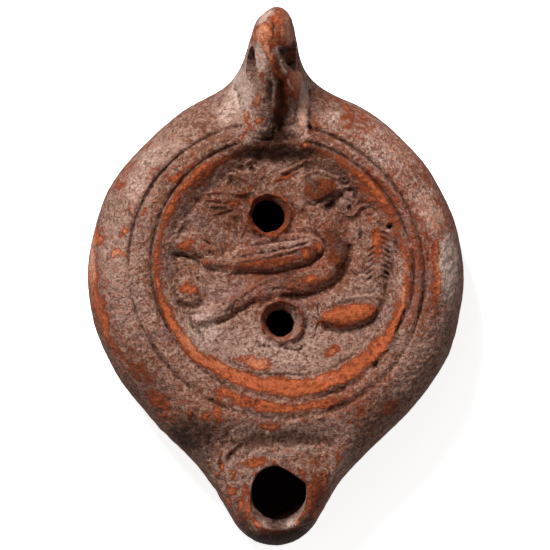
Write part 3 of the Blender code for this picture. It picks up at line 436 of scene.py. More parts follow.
def tapered(x, y, start, start_radius, end, end_radius):
    """Distance to the hull of two circles, negative inside."""
    along = np.subtract(end, start)
    length = math.hypot(*along)
    ux, uy = along / length
    px, py = x - start[0], y - start[1]
    across, up = np.abs(px * uy - py * ux), px * ux + py * uy
    lean = (start_radius - end_radius) / length
    upright = math.sqrt(1 - lean * lean)
    where = upright * up - lean * across
    return np.where(
        where < 0,
        np.hypot(across, up) - start_radius,
        np.where(
            where > upright * length,
            np.hypot(across, up - length) - end_radius,
            upright * across + lean * up - start_radius,
        ),
    )


def bowl_edge(x, y):
    """Distance from the outline of the body and nozzle alone, negative inside."""
    swell = np.interp(np.degrees(np.arctan2(y, x)), BODY_SWELL[:, 0], BODY_SWELL[:, 1])
    body = np.hypot(x, y) - BODY_RADIUS - swell
    tip = (NOZZLE_X, NOZZLE_TIP_RADIUS - NOZZLE_REACH)
    nozzle = tapered(x, y, (NOZZLE_X, NOZZLE_ROOT_Y), NOZZLE_ROOT_RADIUS, tip, NOZZLE_TIP_RADIUS)
    return smooth_min(body, nozzle, NOZZLE_BLEND)


def outer_edge(x, y):
    """Distance from the whole lamp's outline, negative inside."""
    tip = (HANDLE_TIP_X, HANDLE_REACH - HANDLE_TIP_RADIUS)
    handle = tapered(x, y, HANDLE_ROOT, HANDLE_ROOT_RADIUS, tip, HANDLE_TIP_RADIUS)
    (ax, ay), (bx, by) = HANDLE_TIP_CUT
    past_cut = ((bx - ax) * (y - ay) - (by - ay) * (x - ax)) / math.hypot(bx - ax, by - ay)
    handle = smooth_max(handle, past_cut, HANDLE_CUT_ROUNDING)
    return smooth_min(bowl_edge(x, y), handle, HANDLE_BLEND) - EDGE_UNEVENNESS * mottle(x, y, *EDGE_LUMPS)


def outline(edge, angles, inset=0.0):
    """The points where rays from the disc's centre meet the outline, or a line that far inside it."""
    near, far = np.zeros(len(angles)), np.full(len(angles), 2 * HANDLE_REACH)
    cos, sin = np.cos(angles), np.sin(angles)
    for _ in range(40):
        middle = (near + far) / 2
        inside = edge(DISC_CENTRE[0] + middle * cos, DISC_CENTRE[1] + middle * sin) < -inset
        near, far = np.where(inside, middle, near), np.where(inside, far, middle)
    return np.stack([DISC_CENTRE[0] + near * cos, DISC_CENTRE[1] + near * sin], axis=1)


def handle_zone(x, y):
    """1 on the handle behind the body, 0 away from it."""
    beside = 1 - ease(HANDLE_HALF_WIDTH, HANDLE_HALF_WIDTH + HANDLE_SIDE_FADE, np.abs(x - HANDLE_X))
    return beside * ease(HANDLE_SPREAD_START, BODY_RADIUS + 3.0, y)


def nozzle_zone(x, y):
    """1 on the nozzle, 0 on the body."""
    beside = 1 - ease(NOZZLE_TIP_RADIUS, 2 * NOZZLE_TIP_RADIUS, np.abs(x - NOZZLE_X))
    return ease(NOZZLE_START, NOZZLE_LEVEL, -y) * beside


def seam_height(x, y):
    """Height of the widest line, which climbs from the body to the handle's tip."""
    climb = np.clip((y - BODY_RADIUS) / (HANDLE_REACH - BODY_RADIUS), 0, 1)
    return SEAM_HEIGHT + (HANDLE_TIP_HEIGHT - SEAM_HEIGHT) * climb**0.85 * handle_zone(x, y)


def handle_crest(y):
    """Height of the handle's top edge: up the front from the disc's rim, over the crest and down to the tip."""
    front = np.clip((y - HANDLE_FOOT) / (HANDLE_CREST - HANDLE_FOOT), 0, 1)
    back = np.clip((y - HANDLE_CREST) / (HANDLE_REACH - HANDLE_CREST), 0, 1)
    foot = SHOULDER_HEIGHT - HANDLE_FOOT_DROP
    climb = HANDLE_FRONT_FULLNESS * quarter(front, 1.5) + (1 - HANDLE_FRONT_FULLNESS) * front
    return foot + (HANDLE_HEIGHT - foot) * climb - (HANDLE_HEIGHT - HANDLE_BACK_TOP) * back**2


def in_break(x, y):
    """1 inside the broken flank of the handle, 0 outside it."""
    corners, inside = np.array(HANDLE_BREAK), None
    for (ax, ay), (bx, by) in zip(corners, np.roll(corners, -1, axis=0)):
        side = ((by - ay) * (x - ax) - (bx - ax) * (y - ay)) / math.hypot(bx - ax, by - ay)
        inside = side if inside is None else smooth_min(inside, side, HANDLE_BREAK_CORNERS)
    return ease(-0.35, 0.45, inside)


def handle_roof(x, y):
    """The handle's top surface: the crest with steep flanks, a groove up its front and the broken flank."""
    spread = HANDLE_FOOT_SPREAD * (1 - ease(HANDLE_FOOT, HANDLE_SPREAD_START + 5.0, y))
    aside = np.abs(x - HANDLE_X) / (HANDLE_HALF_WIDTH + spread)
    roof = handle_crest(y) - HANDLE_FLANK_DROP * aside**HANDLE_FLANK_POWER
    groove_width = HANDLE_GROOVE_WIDTH - HANDLE_GROOVE_NARROWING * ease(HANDLE_FOOT, HANDLE_CREST - 6.0, y)
    groove = np.exp(-(((x - HANDLE_GROOVE_X) / groove_width) ** 2))
    groove = groove * (1 - ease(HANDLE_CREST - 10.0, HANDLE_CREST - 4.0, y))
    roof = roof - HANDLE_GROOVE_DEPTH * groove - HANDLE_BREAK_DEPTH * in_break(x, y)
    return roof * ease(HANDLE_FOOT - 0.2, HANDLE_FOOT + 1.5, y)


def disc_distance(x, y, centre):
    """Distance from a centre near the disc's, a little oval as the rim is."""
    dx, dy = x - centre[0], y - centre[1]
    return np.hypot(dx, dy) + RIM_OVAL * 2 * dx * dy / np.maximum(dx * dx + dy * dy, 1.0)


def sunken_disc(x, y, extra=0.0, spread=0.0):
    """How far the disc's floor lies below the shoulder, or a surface that is deeper and wider by the two amounts."""
    radius = disc_distance(x, y, DISC_CENTRE)
    dish = DISC_DISH * (1 - np.clip(radius / DISC_RADIUS, 0, 1) ** 2)
    foot = DISC_RADIUS + spread - DISC_SLOPE / 2
    return (DISC_DEPTH + dish + extra) * (1 - ease(foot, foot + DISC_SLOPE, radius))


def inner_rim(x, y):
    """Distance from the inner groove, negative towards the disc."""
    return disc_distance(x, y, DISC_CENTRE) - DISC_RADIUS - INNER_GROOVE_OUT


def outer_rim(x, y):
    """Distance from the outer groove, whose centre lies a little aside."""
    return disc_distance(x, y, DISC_CENTRE + OUTER_GROOVE_SHIFT) - DISC_RADIUS - OUTER_GROOVE_OUT


def rim_grooves(x, y):
    """Depth of the two grooves round the disc. They are worn unevenly, wide and shallow towards the nozzle, deeper
    towards the handle, and stop at its foot."""
    half_width = GROOVE_HALF_WIDTH * (1.5 - 0.5 * ease(-30.0, -6.0, y))
    inner = np.exp(-2 * (inner_rim(x, y) / half_width) ** 2)
    outer = np.exp(-2 * (outer_rim(x, y) / half_width) ** 2)
    inner *= INNER_GROOVE_DEPTH * (0.85 + 0.5 * mottle(x, y, *INNER_GROOVE_LUMPS))
    outer *= OUTER_GROOVE_DEPTH * (0.85 + 0.6 * mottle(x, y, *OUTER_GROOVE_LUMPS))
    on_foot = ease(HANDLE_FOOT - 5.0, HANDLE_FOOT, y)
    on_foot = on_foot * (1 - ease(HANDLE_HALF_WIDTH - 1.0, HANDLE_HALF_WIDTH + 1.0, np.abs(x - HANDLE_X)))
    return (inner + outer) * (0.75 + 0.6 * ease(-24.0, 24.0, y)) * (1 - on_foot)


def along_curve(points, steps=6):
    """A smooth curve through the points, with the share along each span."""
    points = np.array([points[0], *points, points[-1]], float)
    found = []
    for i in range(1, len(points) - 2):
        for t in np.arange(steps) / steps:
            a, b, c, d = points[i - 1 : i + 3]
            found.append(
                0.5 * (2 * b + (c - a) * t + (2 * a - 5 * b + 4 * c - d) * t**2 + (3 * b - a - 3 * c + d) * t**3)
            )
    return np.array([*found, points[-2]])


def raised(x, y, height, *points):
    """A rounded form along a curve: full height on its middle line, nothing past its half width."""
    best = np.zeros(np.shape(x))
    for px, py, width in along_curve(np.reshape(points, (-1, 3))):
        reach = FORM_SPREAD * width
        near = (np.abs(x - px) < reach) & (np.abs(y - py) < reach)
        share = np.clip(np.hypot(x[near] - px, y[near] - py) / reach, 0, 1)
        best[near] = np.maximum(best[near], (1 - share**2) ** FORM_FALL)
    return FIGURE_HEIGHT * height * best


def scored(x, y, height, half_width, *points):
    """A fine ridge, or a groove where the height is negative, that follows a curve and fades at its ends."""
    curve = along_curve(np.reshape(points, (-1, 2)))
    margin = 2.6 * half_width
    low, high = curve.min(axis=0) - margin, curve.max(axis=0) + margin
    near = (x > low[0]) & (x < high[0]) & (y > low[1]) & (y < high[1])
    px, py = x[near], y[near]
    lengths = np.hypot(*np.diff(curve, axis=0).T)
    starts = np.concatenate([[0], np.cumsum(lengths)])
    nearest, place = np.full(px.shape, np.inf), np.zeros(px.shape)
    for i, length in enumerate(lengths):
        if length == 0:
            continue
        (ax, ay), (bx, by) = curve[i], curve[i + 1]
        share = np.clip(((px - ax) * (bx - ax) + (py - ay) * (by - ay)) / length**2, 0, 1)
        distance = np.hypot(px - ax - share * (bx - ax), py - ay - share * (by - ay))
        closer = distance < nearest
        nearest = np.where(closer, distance, nearest)
        place = np.where(closer, starts[i] + share * length, place)
    fade = min(1.0, starts[-1] / 3)
    ends = ease(-0.3 * fade, fade, place) * ease(-0.3 * fade, fade, starts[-1] - place)
    result = np.zeros(np.shape(x))
    result[near] = height * ends * np.exp(-((nearest / half_width) ** 2))
    return result


def dotted(x, y, spots, sign):
    """Small round pits or crumbs, each with its own size."""
    total = np.zeros(np.shape(x))
    for px, py, radius, height in spots:
        near = (np.abs(x - px) < 2 * radius) & (np.abs(y - py) < 2 * radius)
        total[near] += sign * height * np.exp(-((x[near] - px) ** 2 + (y[near] - py) ** 2) / radius**2)
    return total


def lip(x, y, hole, seed):
    """The raised, uneven lip round a hole, steeper outside than inside."""
    (cx, cy), radius = hole[:2]
    angle = np.arctan2(y - cy, x - cx)
    uneven = mottle(4 * np.cos(angle) + 50, 4 * np.sin(angle), 1.3, seed)
    crumbs = mottle(4 * np.cos(angle) + 90, 4 * np.sin(angle), 0.6, seed + 50)
    away = np.hypot(x - cx, y - cy) - radius - 0.35 - 0.25 * uneven - 0.12 * crumbs
    steepness = np.where(away < 0, 0.4, 1.0)
    return LIP_HEIGHT * (1 + 0.2 * uneven + 0.1 * crumbs) * np.exp(-steepness * (away / LIP_HALF_WIDTH) ** 2)


def swayed(x, y, sway, lump, seed):
    """Places moved about a little, so that what is drawn over them comes out uneven."""
    return x + sway * mottle(x, y, lump, seed), y + sway * mottle(x, y, lump, seed + 1)


def relief(x, y):
    """All the disc's rounded forms together, on its floor."""
    total = np.zeros(np.shape(x))
    places = swayed(x, y, 0.25, *FIGURE_LUMPS)
    for form in FORMS:
        total = smooth_max(total, raised(*places, *form), FIGURE_BLEND)
    return total


def barbs(x, y):
    """The wing's feathers: short slanting ridges down both its sides, with grooves between them."""
    total = np.zeros(np.shape(x))
    for i in range(9):
        root = 10.4 - 1.15 * i
        total += scored(x, y, 0.5, 0.27, 21.6, root - 0.5, 22.8, root - 0.9, 24.2 + 0.1 * (i % 2), root - 1.7)
        total += scored(x, y, -0.3, 0.26, 21.9, root - 1.1, 22.9, root - 1.5, 24.0, root - 2.2)
        if i > 2:
            total += scored(x, y, 0.42, 0.27, 20.9, root - 0.2, 19.8, root - 0.9, 18.7, root - 1.8)
            total += scored(x, y, -0.35, 0.25, 20.7, root - 0.8, 19.7, root - 1.5, 18.8, root - 2.3)
    return total


def shoulder_height(x, y, wall=0.0):
    """The rounded shoulder and the nozzle's top, without disc or handle. A wall gives their inside instead."""
    inside = np.maximum(-bowl_edge(x, y) - wall, 0) if wall else np.maximum(-outer_edge(x, y), 0)
    on_nozzle = nozzle_zone(x, y)
    plate = NOZZLE_TOP_RADIUS - np.hypot(x - NOZZLE_X, y - NOZZLE_TIP_RADIUS + NOZZLE_REACH)
    nozzle_roof = NOZZLE_VALLEY_HEIGHT + (NOZZLE_TOP_HEIGHT - NOZZLE_VALLEY_HEIGHT) * ease(-1.2, 1.2, plate)
    roof = SHOULDER_HEIGHT + (nozzle_roof - SHOULDER_HEIGHT) * on_nozzle - wall
    width = SHOULDER_WIDTH + (NOZZLE_ROUNDING - SHOULDER_WIDTH) * on_nozzle - wall
    seam = SEAM_HEIGHT if wall else seam_height(x, y)
    return seam + (roof - seam) * quarter(inside / np.maximum(width, 1.0))


def top_height(x, y):
    """Height of the lamp's upper surface over the point x, y."""
    shoulder, on_handle, seam = shoulder_height(x, y), handle_zone(x, y), seam_height(x, y)
    edge_share = quarter(np.maximum(-outer_edge(x, y), 0) / HANDLE_EDGE_ROUNDING)
    roof = handle_roof(x, y)
    handle = roof + (seam + (roof - seam) * edge_share - roof) * on_handle
    surface = smooth_max(shoulder, handle, np.where(x < HANDLE_X, HANDLE_LEFT_BLEND, HANDLE_RIGHT_BLEND))
    in_disc = 1 - ease(DISC_RADIUS - 0.5, DISC_RADIUS + 1.0, disc_distance(x, y, DISC_CENTRE))
    surface = surface - sunken_disc(x, y) - rim_grooves(x, y)
    figures = smooth_max(relief(x, y), lip(x, y, FILLING_HOLE, FILLING_LIP_SEED), FIGURE_BLEND)
    surface = surface + in_disc * (figures + barbs(x, y))
    surface = surface + in_disc * lip(x, y, AIR_HOLE, AIR_LIP_SEED)
    places = swayed(x, y, 0.12, *LINE_LUMPS)
    fine = LINE_HEIGHT * sum(scored(*places, *line) for line in LINES)
    fine = fine + dotted(*places, PITS, -1) + dotted(*places, CRUMBS, 1)
    away_from_edge = ease(0.2, 1.6, -outer_edge(x, y))
    return surface + fine * away_from_edge


def bowl_height(x, y):
    """Height of the body's and nozzle's underside, which climbs gently from the foot."""
    climb = UNDERSIDE_SLOPE * np.maximum(np.hypot(x, y) - FOOT_RADIUS, 0)
    return climb * (1 - NOZZLE_FLATNESS * nozzle_zone(x, y))


def underside_rounding(narrow):
    """Width over which the underside turns up to the seam: less where the lamp is narrow."""
    return UNDERSIDE_ROUNDING + (NARROW_ROUNDING - UNDERSIDE_ROUNDING) * narrow


def floor_height(x, y):
    """Height of the underside, before its edge turns up to the seam."""
    bowl = bowl_height(x, y)
    start_y, start_z = HANDLE_UNDER_START
    climb = np.clip((y - start_y) / (HANDLE_REACH - start_y), 0, 1)
    under_handle = start_z + (HANDLE_BACK_UNDER - start_z) * climb**0.8
    return bowl + (under_handle - bowl) * handle_zone(x, y)


def bottom_height(x, y):
    """Height of the lamp's lower surface over the point x, y, outside its foot."""
    inside = np.maximum(-outer_edge(x, y), 0)
    seam, floor = seam_height(x, y), floor_height(x, y)
    width = underside_rounding(np.maximum(handle_zone(x, y), NOZZLE_NARROWNESS * nozzle_zone(x, y)))
    groove = np.clip(1 - np.abs(np.hypot(x, y) - FOOT_RADIUS - FOOT_GROOVE_WIDTH / 2) / FOOT_GROOVE_WIDTH * 2, 0, 1)
    return seam + (floor - seam) * quarter(inside / width) + FOOT_GROOVE_DEPTH * groove


def cavity_top(x, y):
    """The reservoir's ceiling: one wall below the shoulder, and the disc's own thickness below its floor."""
    return shoulder_height(x, y, WALL) - sunken_disc(x, y, DISC_THICKNESS - WALL, DISC_THICKNESS / 2)


def cavity_bottom(x, y):
    """The reservoir's floor, one wall above the lamp's underside."""
    inside = np.maximum(-bowl_edge(x, y) - WALL, 0)
    width = underside_rounding(NOZZLE_NARROWNESS * nozzle_zone(x, y)) - WALL
    return SEAM_HEIGHT + (bowl_height(x, y) + WALL - SEAM_HEIGHT) * quarter(inside / width)


def crowded(angles):
    """Moves the spokes towards the nozzle and the handle, where the outline is finest."""
    return angles + SPOKE_CROWDING / 2 * np.sin(2 * angles)


def disc_grid(cells):
    """A square grid pressed into a unit circle, and the numbers of its edge points in turn from -45 degrees."""
    a, b = np.meshgrid(np.linspace(-1, 1, cells + 1), np.linspace(-1, 1, cells + 1), indexing="ij")
    wide = np.abs(a) > np.abs(b)
    radius = np.where(wide, a, b)
    safe = np.where(radius == 0, 1, radius)
    angle = np.where(wide, math.pi / 4 * b / safe, math.pi / 2 - math.pi / 4 * a / safe)
    x, y = radius * np.cos(angle), radius * np.sin(angle)
    reach = np.hypot(x, y)
    turned = np.arctan2(y, x)
    turned = turned + (crowded(turned) - turned) * reach**2
    points = np.stack([reach * np.cos(turned), reach * np.sin(turned)], axis=-1).reshape(-1, 2)
    number = np.arange((cells + 1) ** 2).reshape(cells + 1, cells + 1)
    edge = [*number[-1, :-1], *number[::-1, -1][:-1], *number[0, ::-1][:-1], *number[:-1, 0]]
    squares = np.stack([number[:-1, :-1], number[1:, :-1], number[1:, 1:], number[:-1, 1:]], axis=-1)
    return points, edge, squares.reshape(-1, 4).tolist()


def bridge(outer, inner):
    """Faces between two rings, the inner one having as many points as the outer one or half as many."""
    count, step = len(inner), len(outer) // len(inner)
    faces = []
    for i in range(count):
        a, b = inner[i], inner[(i + 1) % count]
        if step == 1:
            faces.append((a, outer[i], outer[(i + 1) % count], b))
        else:
            first, second, third = outer[2 * i], outer[2 * i + 1], outer[(2 * i + 2) % len(outer)]
            faces += [(a, first, second), (a, second, b), (b, second, third)]
    return faces


def closed_form(name, top_rings, top_core, bottom_rings):
    """A closed mesh: a grid core and rings over the top, rings under it and a flat foot. Rings are arrays of points."""
    core_points, core_edge, faces = top_core
    points, ring, count = [core_points], list(core_edge), len(core_points)
    for new, under in [(new, False) for new in top_rings] + [(new, True) for new in bottom_rings]:
        points.append(new)
        now = list(range(count, count + len(new)))
        count += len(new)
        faces += [face[::-1] for face in bridge(ring, now)] if under else bridge(now, ring)
        ring = now
    faces.append(ring[::-1])
    return solid(name, MM * np.concatenate(points), faces)


def solid(name, points, faces):
    """A closed mesh object with its faces turned outwards."""
    mesh = bpy.data.meshes.new(name)
    mesh.from_pydata(points.tolist(), [], faces)
    form = bpy.data.objects.new(name, mesh)
    bpy.context.collection.objects.link(form)
    work = bmesh.new()
    work.from_mesh(mesh)
    bmesh.ops.triangulate(work, faces=work.faces)
    bmesh.ops.recalc_face_normals(work, faces=work.faces)
    work.to_mesh(mesh)
    work.free()
    return form


def with_height(plan, height):
    """Plan points given their height, as an array of x, y, z."""
    return np.column_stack([plan, height(plan[:, 0], plan[:, 1])])


def drawn_in(ring, share, radius):
    """Ring points drawn in towards a circle about the origin: on it at share 0, in place at share 1."""
    reach = np.hypot(ring[:, 0], ring[:, 1])[:, None]
    circle = ring / reach * radius
    return circle + (ring - circle) * share


def ring_ways(cells):
    """Directions of the spokes that leave a disc grid's edge, from the disc's centre."""
    spokes = crowded(math.radians(-45) + np.arange(4 * cells) * math.pi / (2 * cells))
    return spokes, np.stack([np.cos(spokes), np.sin(spokes)], axis=1)


def between(first, last, count):
    """Rings from just after the first to the last, evenly spaced."""
    return [first + (last - first) * i / count for i in range(1, count + 1)]


def outer_form():
    """The lamp's outside, with no holes."""
    core, core_edge, core_faces = disc_grid(DISC_CELLS)
    core_radius = DISC_RADIUS - DISC_SLOPE / 2
    core = DISC_CENTRE + core * core_radius
    spokes, ways = ring_ways(DISC_CELLS)
    edge = outline(outer_edge, spokes)
    start = outline(outer_rim, spokes) + 1.3 * GROOVE_HALF_WIDTH * ways
    plan = between(DISC_CENTRE + ways * core_radius, start, RIM_RINGS)
    for i in range(1, SHOULDER_RINGS):
        share = i / SHOULDER_RINGS
        share = (1 - RING_CROWDING) * share + RING_CROWDING * math.sin(math.pi / 2 * share)
        plan.append(start + (edge - start) * share)
    heights = with_height(np.concatenate([core, *plan]), top_height)
    top_core, top = heights[: len(core)], heights[len(core) :]
    top_rings = list(top.reshape(len(plan), -1, 3))
    top_rings.append(with_height(edge, seam_height))
    groove_edge, groove_middle = FOOT_RADIUS + FOOT_GROOVE_WIDTH, FOOT_RADIUS + FOOT_GROOVE_WIDTH / 2
    bottom_rings = []
    for i in range(1, UNDERSIDE_RINGS + 1):
        share = math.cos(math.pi / 2 * i / UNDERSIDE_RINGS)
        bottom_rings.append(with_height(drawn_in(edge[::2], share, groove_edge), bottom_height))
    bottom_rings.append(with_height(drawn_in(edge[::2], 0, groove_middle), bottom_height))
    bottom_rings.append(with_height(drawn_in(edge[::2], 0, FOOT_RADIUS), lambda x, y: 0 * x))
    return closed_form("oil_lamp_clay", top_rings, (top_core, core_edge, core_faces), bottom_rings)


def cavity_form():
    """The reservoir: the body and nozzle, one wall smaller."""
    core, core_edge, core_faces = disc_grid(CAVITY_CELLS)
    core = DISC_CENTRE + core * DISC_RADIUS
    spokes, ways = ring_ways(CAVITY_CELLS)
    edge = outline(bowl_edge, spokes, WALL)
    start = DISC_CENTRE + ways * DISC_RADIUS
    top_rings = []
    for i in range(1, CAVITY_RINGS):
        share = math.sin(math.pi / 2 * i / CAVITY_RINGS)
        top_rings.append(with_height(start + (edge - start) * share, cavity_top))
    top_rings.append(with_height(edge, lambda x, y: SEAM_HEIGHT + 0 * x))
    bottom_rings = []
    for i in range(1, CAVITY_RINGS):
        share = math.cos(math.pi / 2 * i / CAVITY_RINGS)
        bottom_rings.append(with_height(drawn_in(edge, share, FOOT_RADIUS), cavity_bottom))
    bottom_rings.append(with_height(drawn_in(edge, 0, FOOT_RADIUS), lambda x, y: WALL + 0 * x))
    return closed_form("reservoir", top_rings, (with_height(core, cavity_top), core_edge, core_faces), bottom_rings)


def loft(name, rings):
    """A closed cutter through stacked rings of equal count."""
    count = len(rings[0])
    faces = [list(range(count))[::-1], list(range(len(rings) * count - count, len(rings) * count))]
    for i in range(len(rings) - 1):
        for j in range(count):
            k = (j + 1) % count
            faces.append((i * count + j, i * count + k, (i + 1) * count + k, (i + 1) * count + j))
    return solid(name, MM * np.concatenate(rings), faces)


def level_ring(centre, radius, z, uneven, seed):
    """A level, slightly uneven ring."""
    angles = 2 * math.pi * np.arange(HOLE_SIDES) / HOLE_SIDES
    swell = 1 + uneven * mottle(3 * np.cos(angles) + 20, 3 * np.sin(angles), 1.2, seed)
    x, y = centre[0] + radius * swell * np.cos(angles), centre[1] + radius * swell * np.sin(angles)
    return np.column_stack([x, y, np.full(HOLE_SIDES, z)])


def funnel(name, hole, seed):
    """A filling or air hole's cutter: straight below, opening out through the lip."""
    rim, rim_radius, throat, throat_radius = hole
    floor = SHOULDER_HEIGHT - DISC_DEPTH - DISC_DISH
    rings = []
    for share, wider, level, uneven in HOLE_RINGS:
        centre = np.add(throat, share * np.subtract(rim, throat))
        radius = throat_radius + share * (rim_radius - throat_radius) + wider
        rings.append(level_ring(centre, radius, floor + level, uneven, seed))
    return loft(name, rings)


def wick_hole():
    """The wick hole's cutter: an uneven rim that slants in to a narrower throat."""
    rim = along_curve([WICK_RIM[-1], *WICK_RIM, *WICK_RIM[:2]], 12)[12:-13]
    angles = 2 * math.pi * np.arange(HOLE_SIDES) / HOLE_SIDES
    ways = np.column_stack([np.cos(angles), np.sin(angles)])
    dx, dy = (rim - WICK_THROAT_CENTRE).T
    reach = np.interp(angles, np.arctan2(dy, dx), np.hypot(dx, dy), period=2 * math.pi)
    oval = 1 / np.hypot(ways[:, 0] / WICK_THROAT_RADII[0], ways[:, 1] / WICK_THROAT_RADII[1])
    throat = np.minimum(oval, 0.97 * reach)
    stack = [(SEAM_HEIGHT - 4.0, throat), (NOZZLE_TOP_HEIGHT - WICK_THROAT_DROP, throat)]
    stack += [(NOZZLE_TOP_HEIGHT + level, grow * reach) for level, grow in WICK_RINGS]
    plans = [(z, WICK_THROAT_CENTRE + size[:, None] * ways) for z, size in stack]
    return loft("wick_hole", [np.column_stack([plan, np.full(HOLE_SIDES, z)]) for z, plan in plans])


def handle_hole():
    """The leaning oval hole across the handle, widest at its left mouth."""
    angles = 2 * math.pi * np.arange(HOLE_SIDES) / HOLE_SIDES
    lean = math.radians(HANDLE_HOLE_LEAN)
    rings = []
    for x, grow, shift in HANDLE_HOLE_RUN:
        across, up = grow * HANDLE_HOLE_RADII[0] * np.cos(angles), grow * HANDLE_HOLE_RADII[1] * np.sin(angles)
        y = HANDLE_HOLE[0] + shift + across * math.cos(lean) + up * math.sin(lean)
        z = HANDLE_HOLE[1] - across * math.sin(lean) + up * math.cos(lean)
        rings.append(np.column_stack([np.full(HOLE_SIDES, x), y, z]))
    return loft("handle_hole", rings)


def add(tree, kind, inputs=None, **settings):
    """Adds a node with its settings, and gives its sockets a value or a link."""
    node = tree.nodes.new(kind)
    for name, value in settings.items():
        setattr(node, name, value)
    for socket, value in (inputs or {}).items():
        if isinstance(value, bpy.types.NodeSocket):
            tree.links.new(value, node.inputs[socket])
        else:
            node.inputs[socket].default_value = value
    return node


def linear(colour):
    """An sRGB hex colour as linear red, green, blue and alpha."""
    shares = [int(colour[i : i + 2], 16) / 255 for i in (1, 3, 5)]
    return (*(s / 12.92 if s <= 0.04045 else ((s + 0.055) / 1.055) ** 2.4 for s in shares), 1.0)


def cut(form, cutters):
    """Takes the cutters out of a form for good."""
    for cutter in cutters:
        boolean = form.modifiers.new(cutter.name, "BOOLEAN")
        boolean.operation = "DIFFERENCE"
        boolean.solver = "EXACT"
        boolean.object = cutter
    settle(form)
    for cutter in cutters:
        bpy.data.objects.remove(cutter)


def settle(form):
    """Turns what the modifiers make of a form into its own plain mesh."""
    made = bpy.data.meshes.new_from_object(form.evaluated_get(bpy.context.evaluated_depsgraph_get()))
    form.modifiers.clear()
    form.data = made


# Clay surface, in metres: soft lumps from the mould and the hand, grain from wear, and grit that stands out
ROUGHNESS = {
    "Lump Size": 5.0 * MM, "Lump Height": 0.6 * MM, "Grain Size": 1.3 * MM, "Grain Height": 0.7 * MM,
    "Grit Spacing": 1.5 * MM, "Grit Radius": 0.45 * MM, "Grit Height": 0.12 * MM, "Foot Edge": 1.2 * MM,
}
# shares of that roughness, and how much of it is lost where the clay is rubbed and beside the wick
COARSE_OUTSIDE = 1.2
COARSE_ON_DISC = 0.75
COARSE_IN_PLACES = 0.6
COARSE_LOST_BY_RUBBING = 0.5
COARSE_LOST_AT_WICK = 0.7
# the clay is rougher still on the handle's front, over the nozzle and on the body to its left
COARSE_PLACES = [(-2.6, 33.5, 3.2, 5, 0, 1), (-9, -41, 4, 6, 0, 1.2), (8, -42, 3, 6, 0, 1),
                 (-21, -28, 8, 6, -40, 1), (2.6, 51, 2, 5, 0, 0.9)]


def rough_surface(clay):
    """A node tree that moves the surface in and out by lumps, grain and grit, and leaves the foot flat."""
    tree = bpy.data.node_groups.new("rough_surface", "GeometryNodeTree")
    tree.interface.new_socket("Form", in_out="INPUT", socket_type="NodeSocketGeometry")
    for name, size in ROUGHNESS.items():
        tree.interface.new_socket(name, in_out="INPUT", socket_type="NodeSocketFloat").default_value = size
    tree.interface.new_socket("Form", in_out="OUTPUT", socket_type="NodeSocketGeometry")
    given = add(tree, "NodeGroupInput").outputs
    place = add(tree, "GeometryNodeInputPosition").outputs[0]
    total = 0.0
    for size, height, detail in (("Lump Size", "Lump Height", 2.0), ("Grain Size", "Grain Height", 3.0)):
        scale = add(tree, "ShaderNodeMath", {0: 1.0, 1: given[size]}, operation="DIVIDE").outputs[0]
        noise = add(tree, "ShaderNodeTexNoise", {"Vector": place, "Scale": scale, "Detail": detail}).outputs[0]
        level = add(tree, "ShaderNodeMath", {0: noise, 1: 0.5}, operation="SUBTRACT").outputs[0]
        swell = {0: level, 1: given[height], 2: total}
        total = add(tree, "ShaderNodeMath", swell, operation="MULTIPLY_ADD").outputs[0]
    scale = add(tree, "ShaderNodeMath", {0: 1.0, 1: given["Grit Spacing"]}, operation="DIVIDE").outputs[0]
    cells = add(tree, "ShaderNodeTexVoronoi", {"Vector": place, "Scale": scale, "Randomness": 1.0})
    reach = add(tree, "ShaderNodeMath", {0: given["Grit Radius"], 1: scale}, operation="MULTIPLY").outputs[0]
    grain = add(tree, "ShaderNodeMapRange", {"Value": cells.outputs["Distance"], "From Min": reach, "From Max": 0.0},
                interpolation_type="SMOOTHSTEP").outputs[0]
    grit = {0: grain, 1: given["Grit Height"], 2: total}
    total = add(tree, "ShaderNodeMath", grit, operation="MULTIPLY_ADD").outputs[0]
    height = add(tree, "ShaderNodeSeparateXYZ", {0: place}).outputs["Z"]
    on_foot = add(tree, "ShaderNodeMapRange", {"Value": height, "From Max": given["Foot Edge"]},
                  interpolation_type="SMOOTHSTEP").outputs[0]
    coarse = add(tree, "GeometryNodeInputNamedAttribute", {"Name": "coarse"}, data_type="FLOAT").outputs[0]
    for share in (on_foot, coarse):
        total = add(tree, "ShaderNodeMath", {0: total, 1: share}, operation="MULTIPLY").outputs[0]
    normal = add(tree, "GeometryNodeInputNormal").outputs[0]
    offset = add(tree, "ShaderNodeVectorMath", {0: normal, "Scale": total}, operation="SCALE").outputs[0]
    moved = add(tree, "GeometryNodeSetPosition", {"Geometry": given["Form"], "Offset": offset}).outputs[0]
    real = add(tree, "GeometryNodeRealizeInstances", {0: moved}).outputs[0]
    dressed = add(tree, "GeometryNodeSetMaterial", {"Geometry": real, "Material": clay}).outputs[0]
    add(tree, "NodeGroupOutput", {"Form": dressed})
    return tree


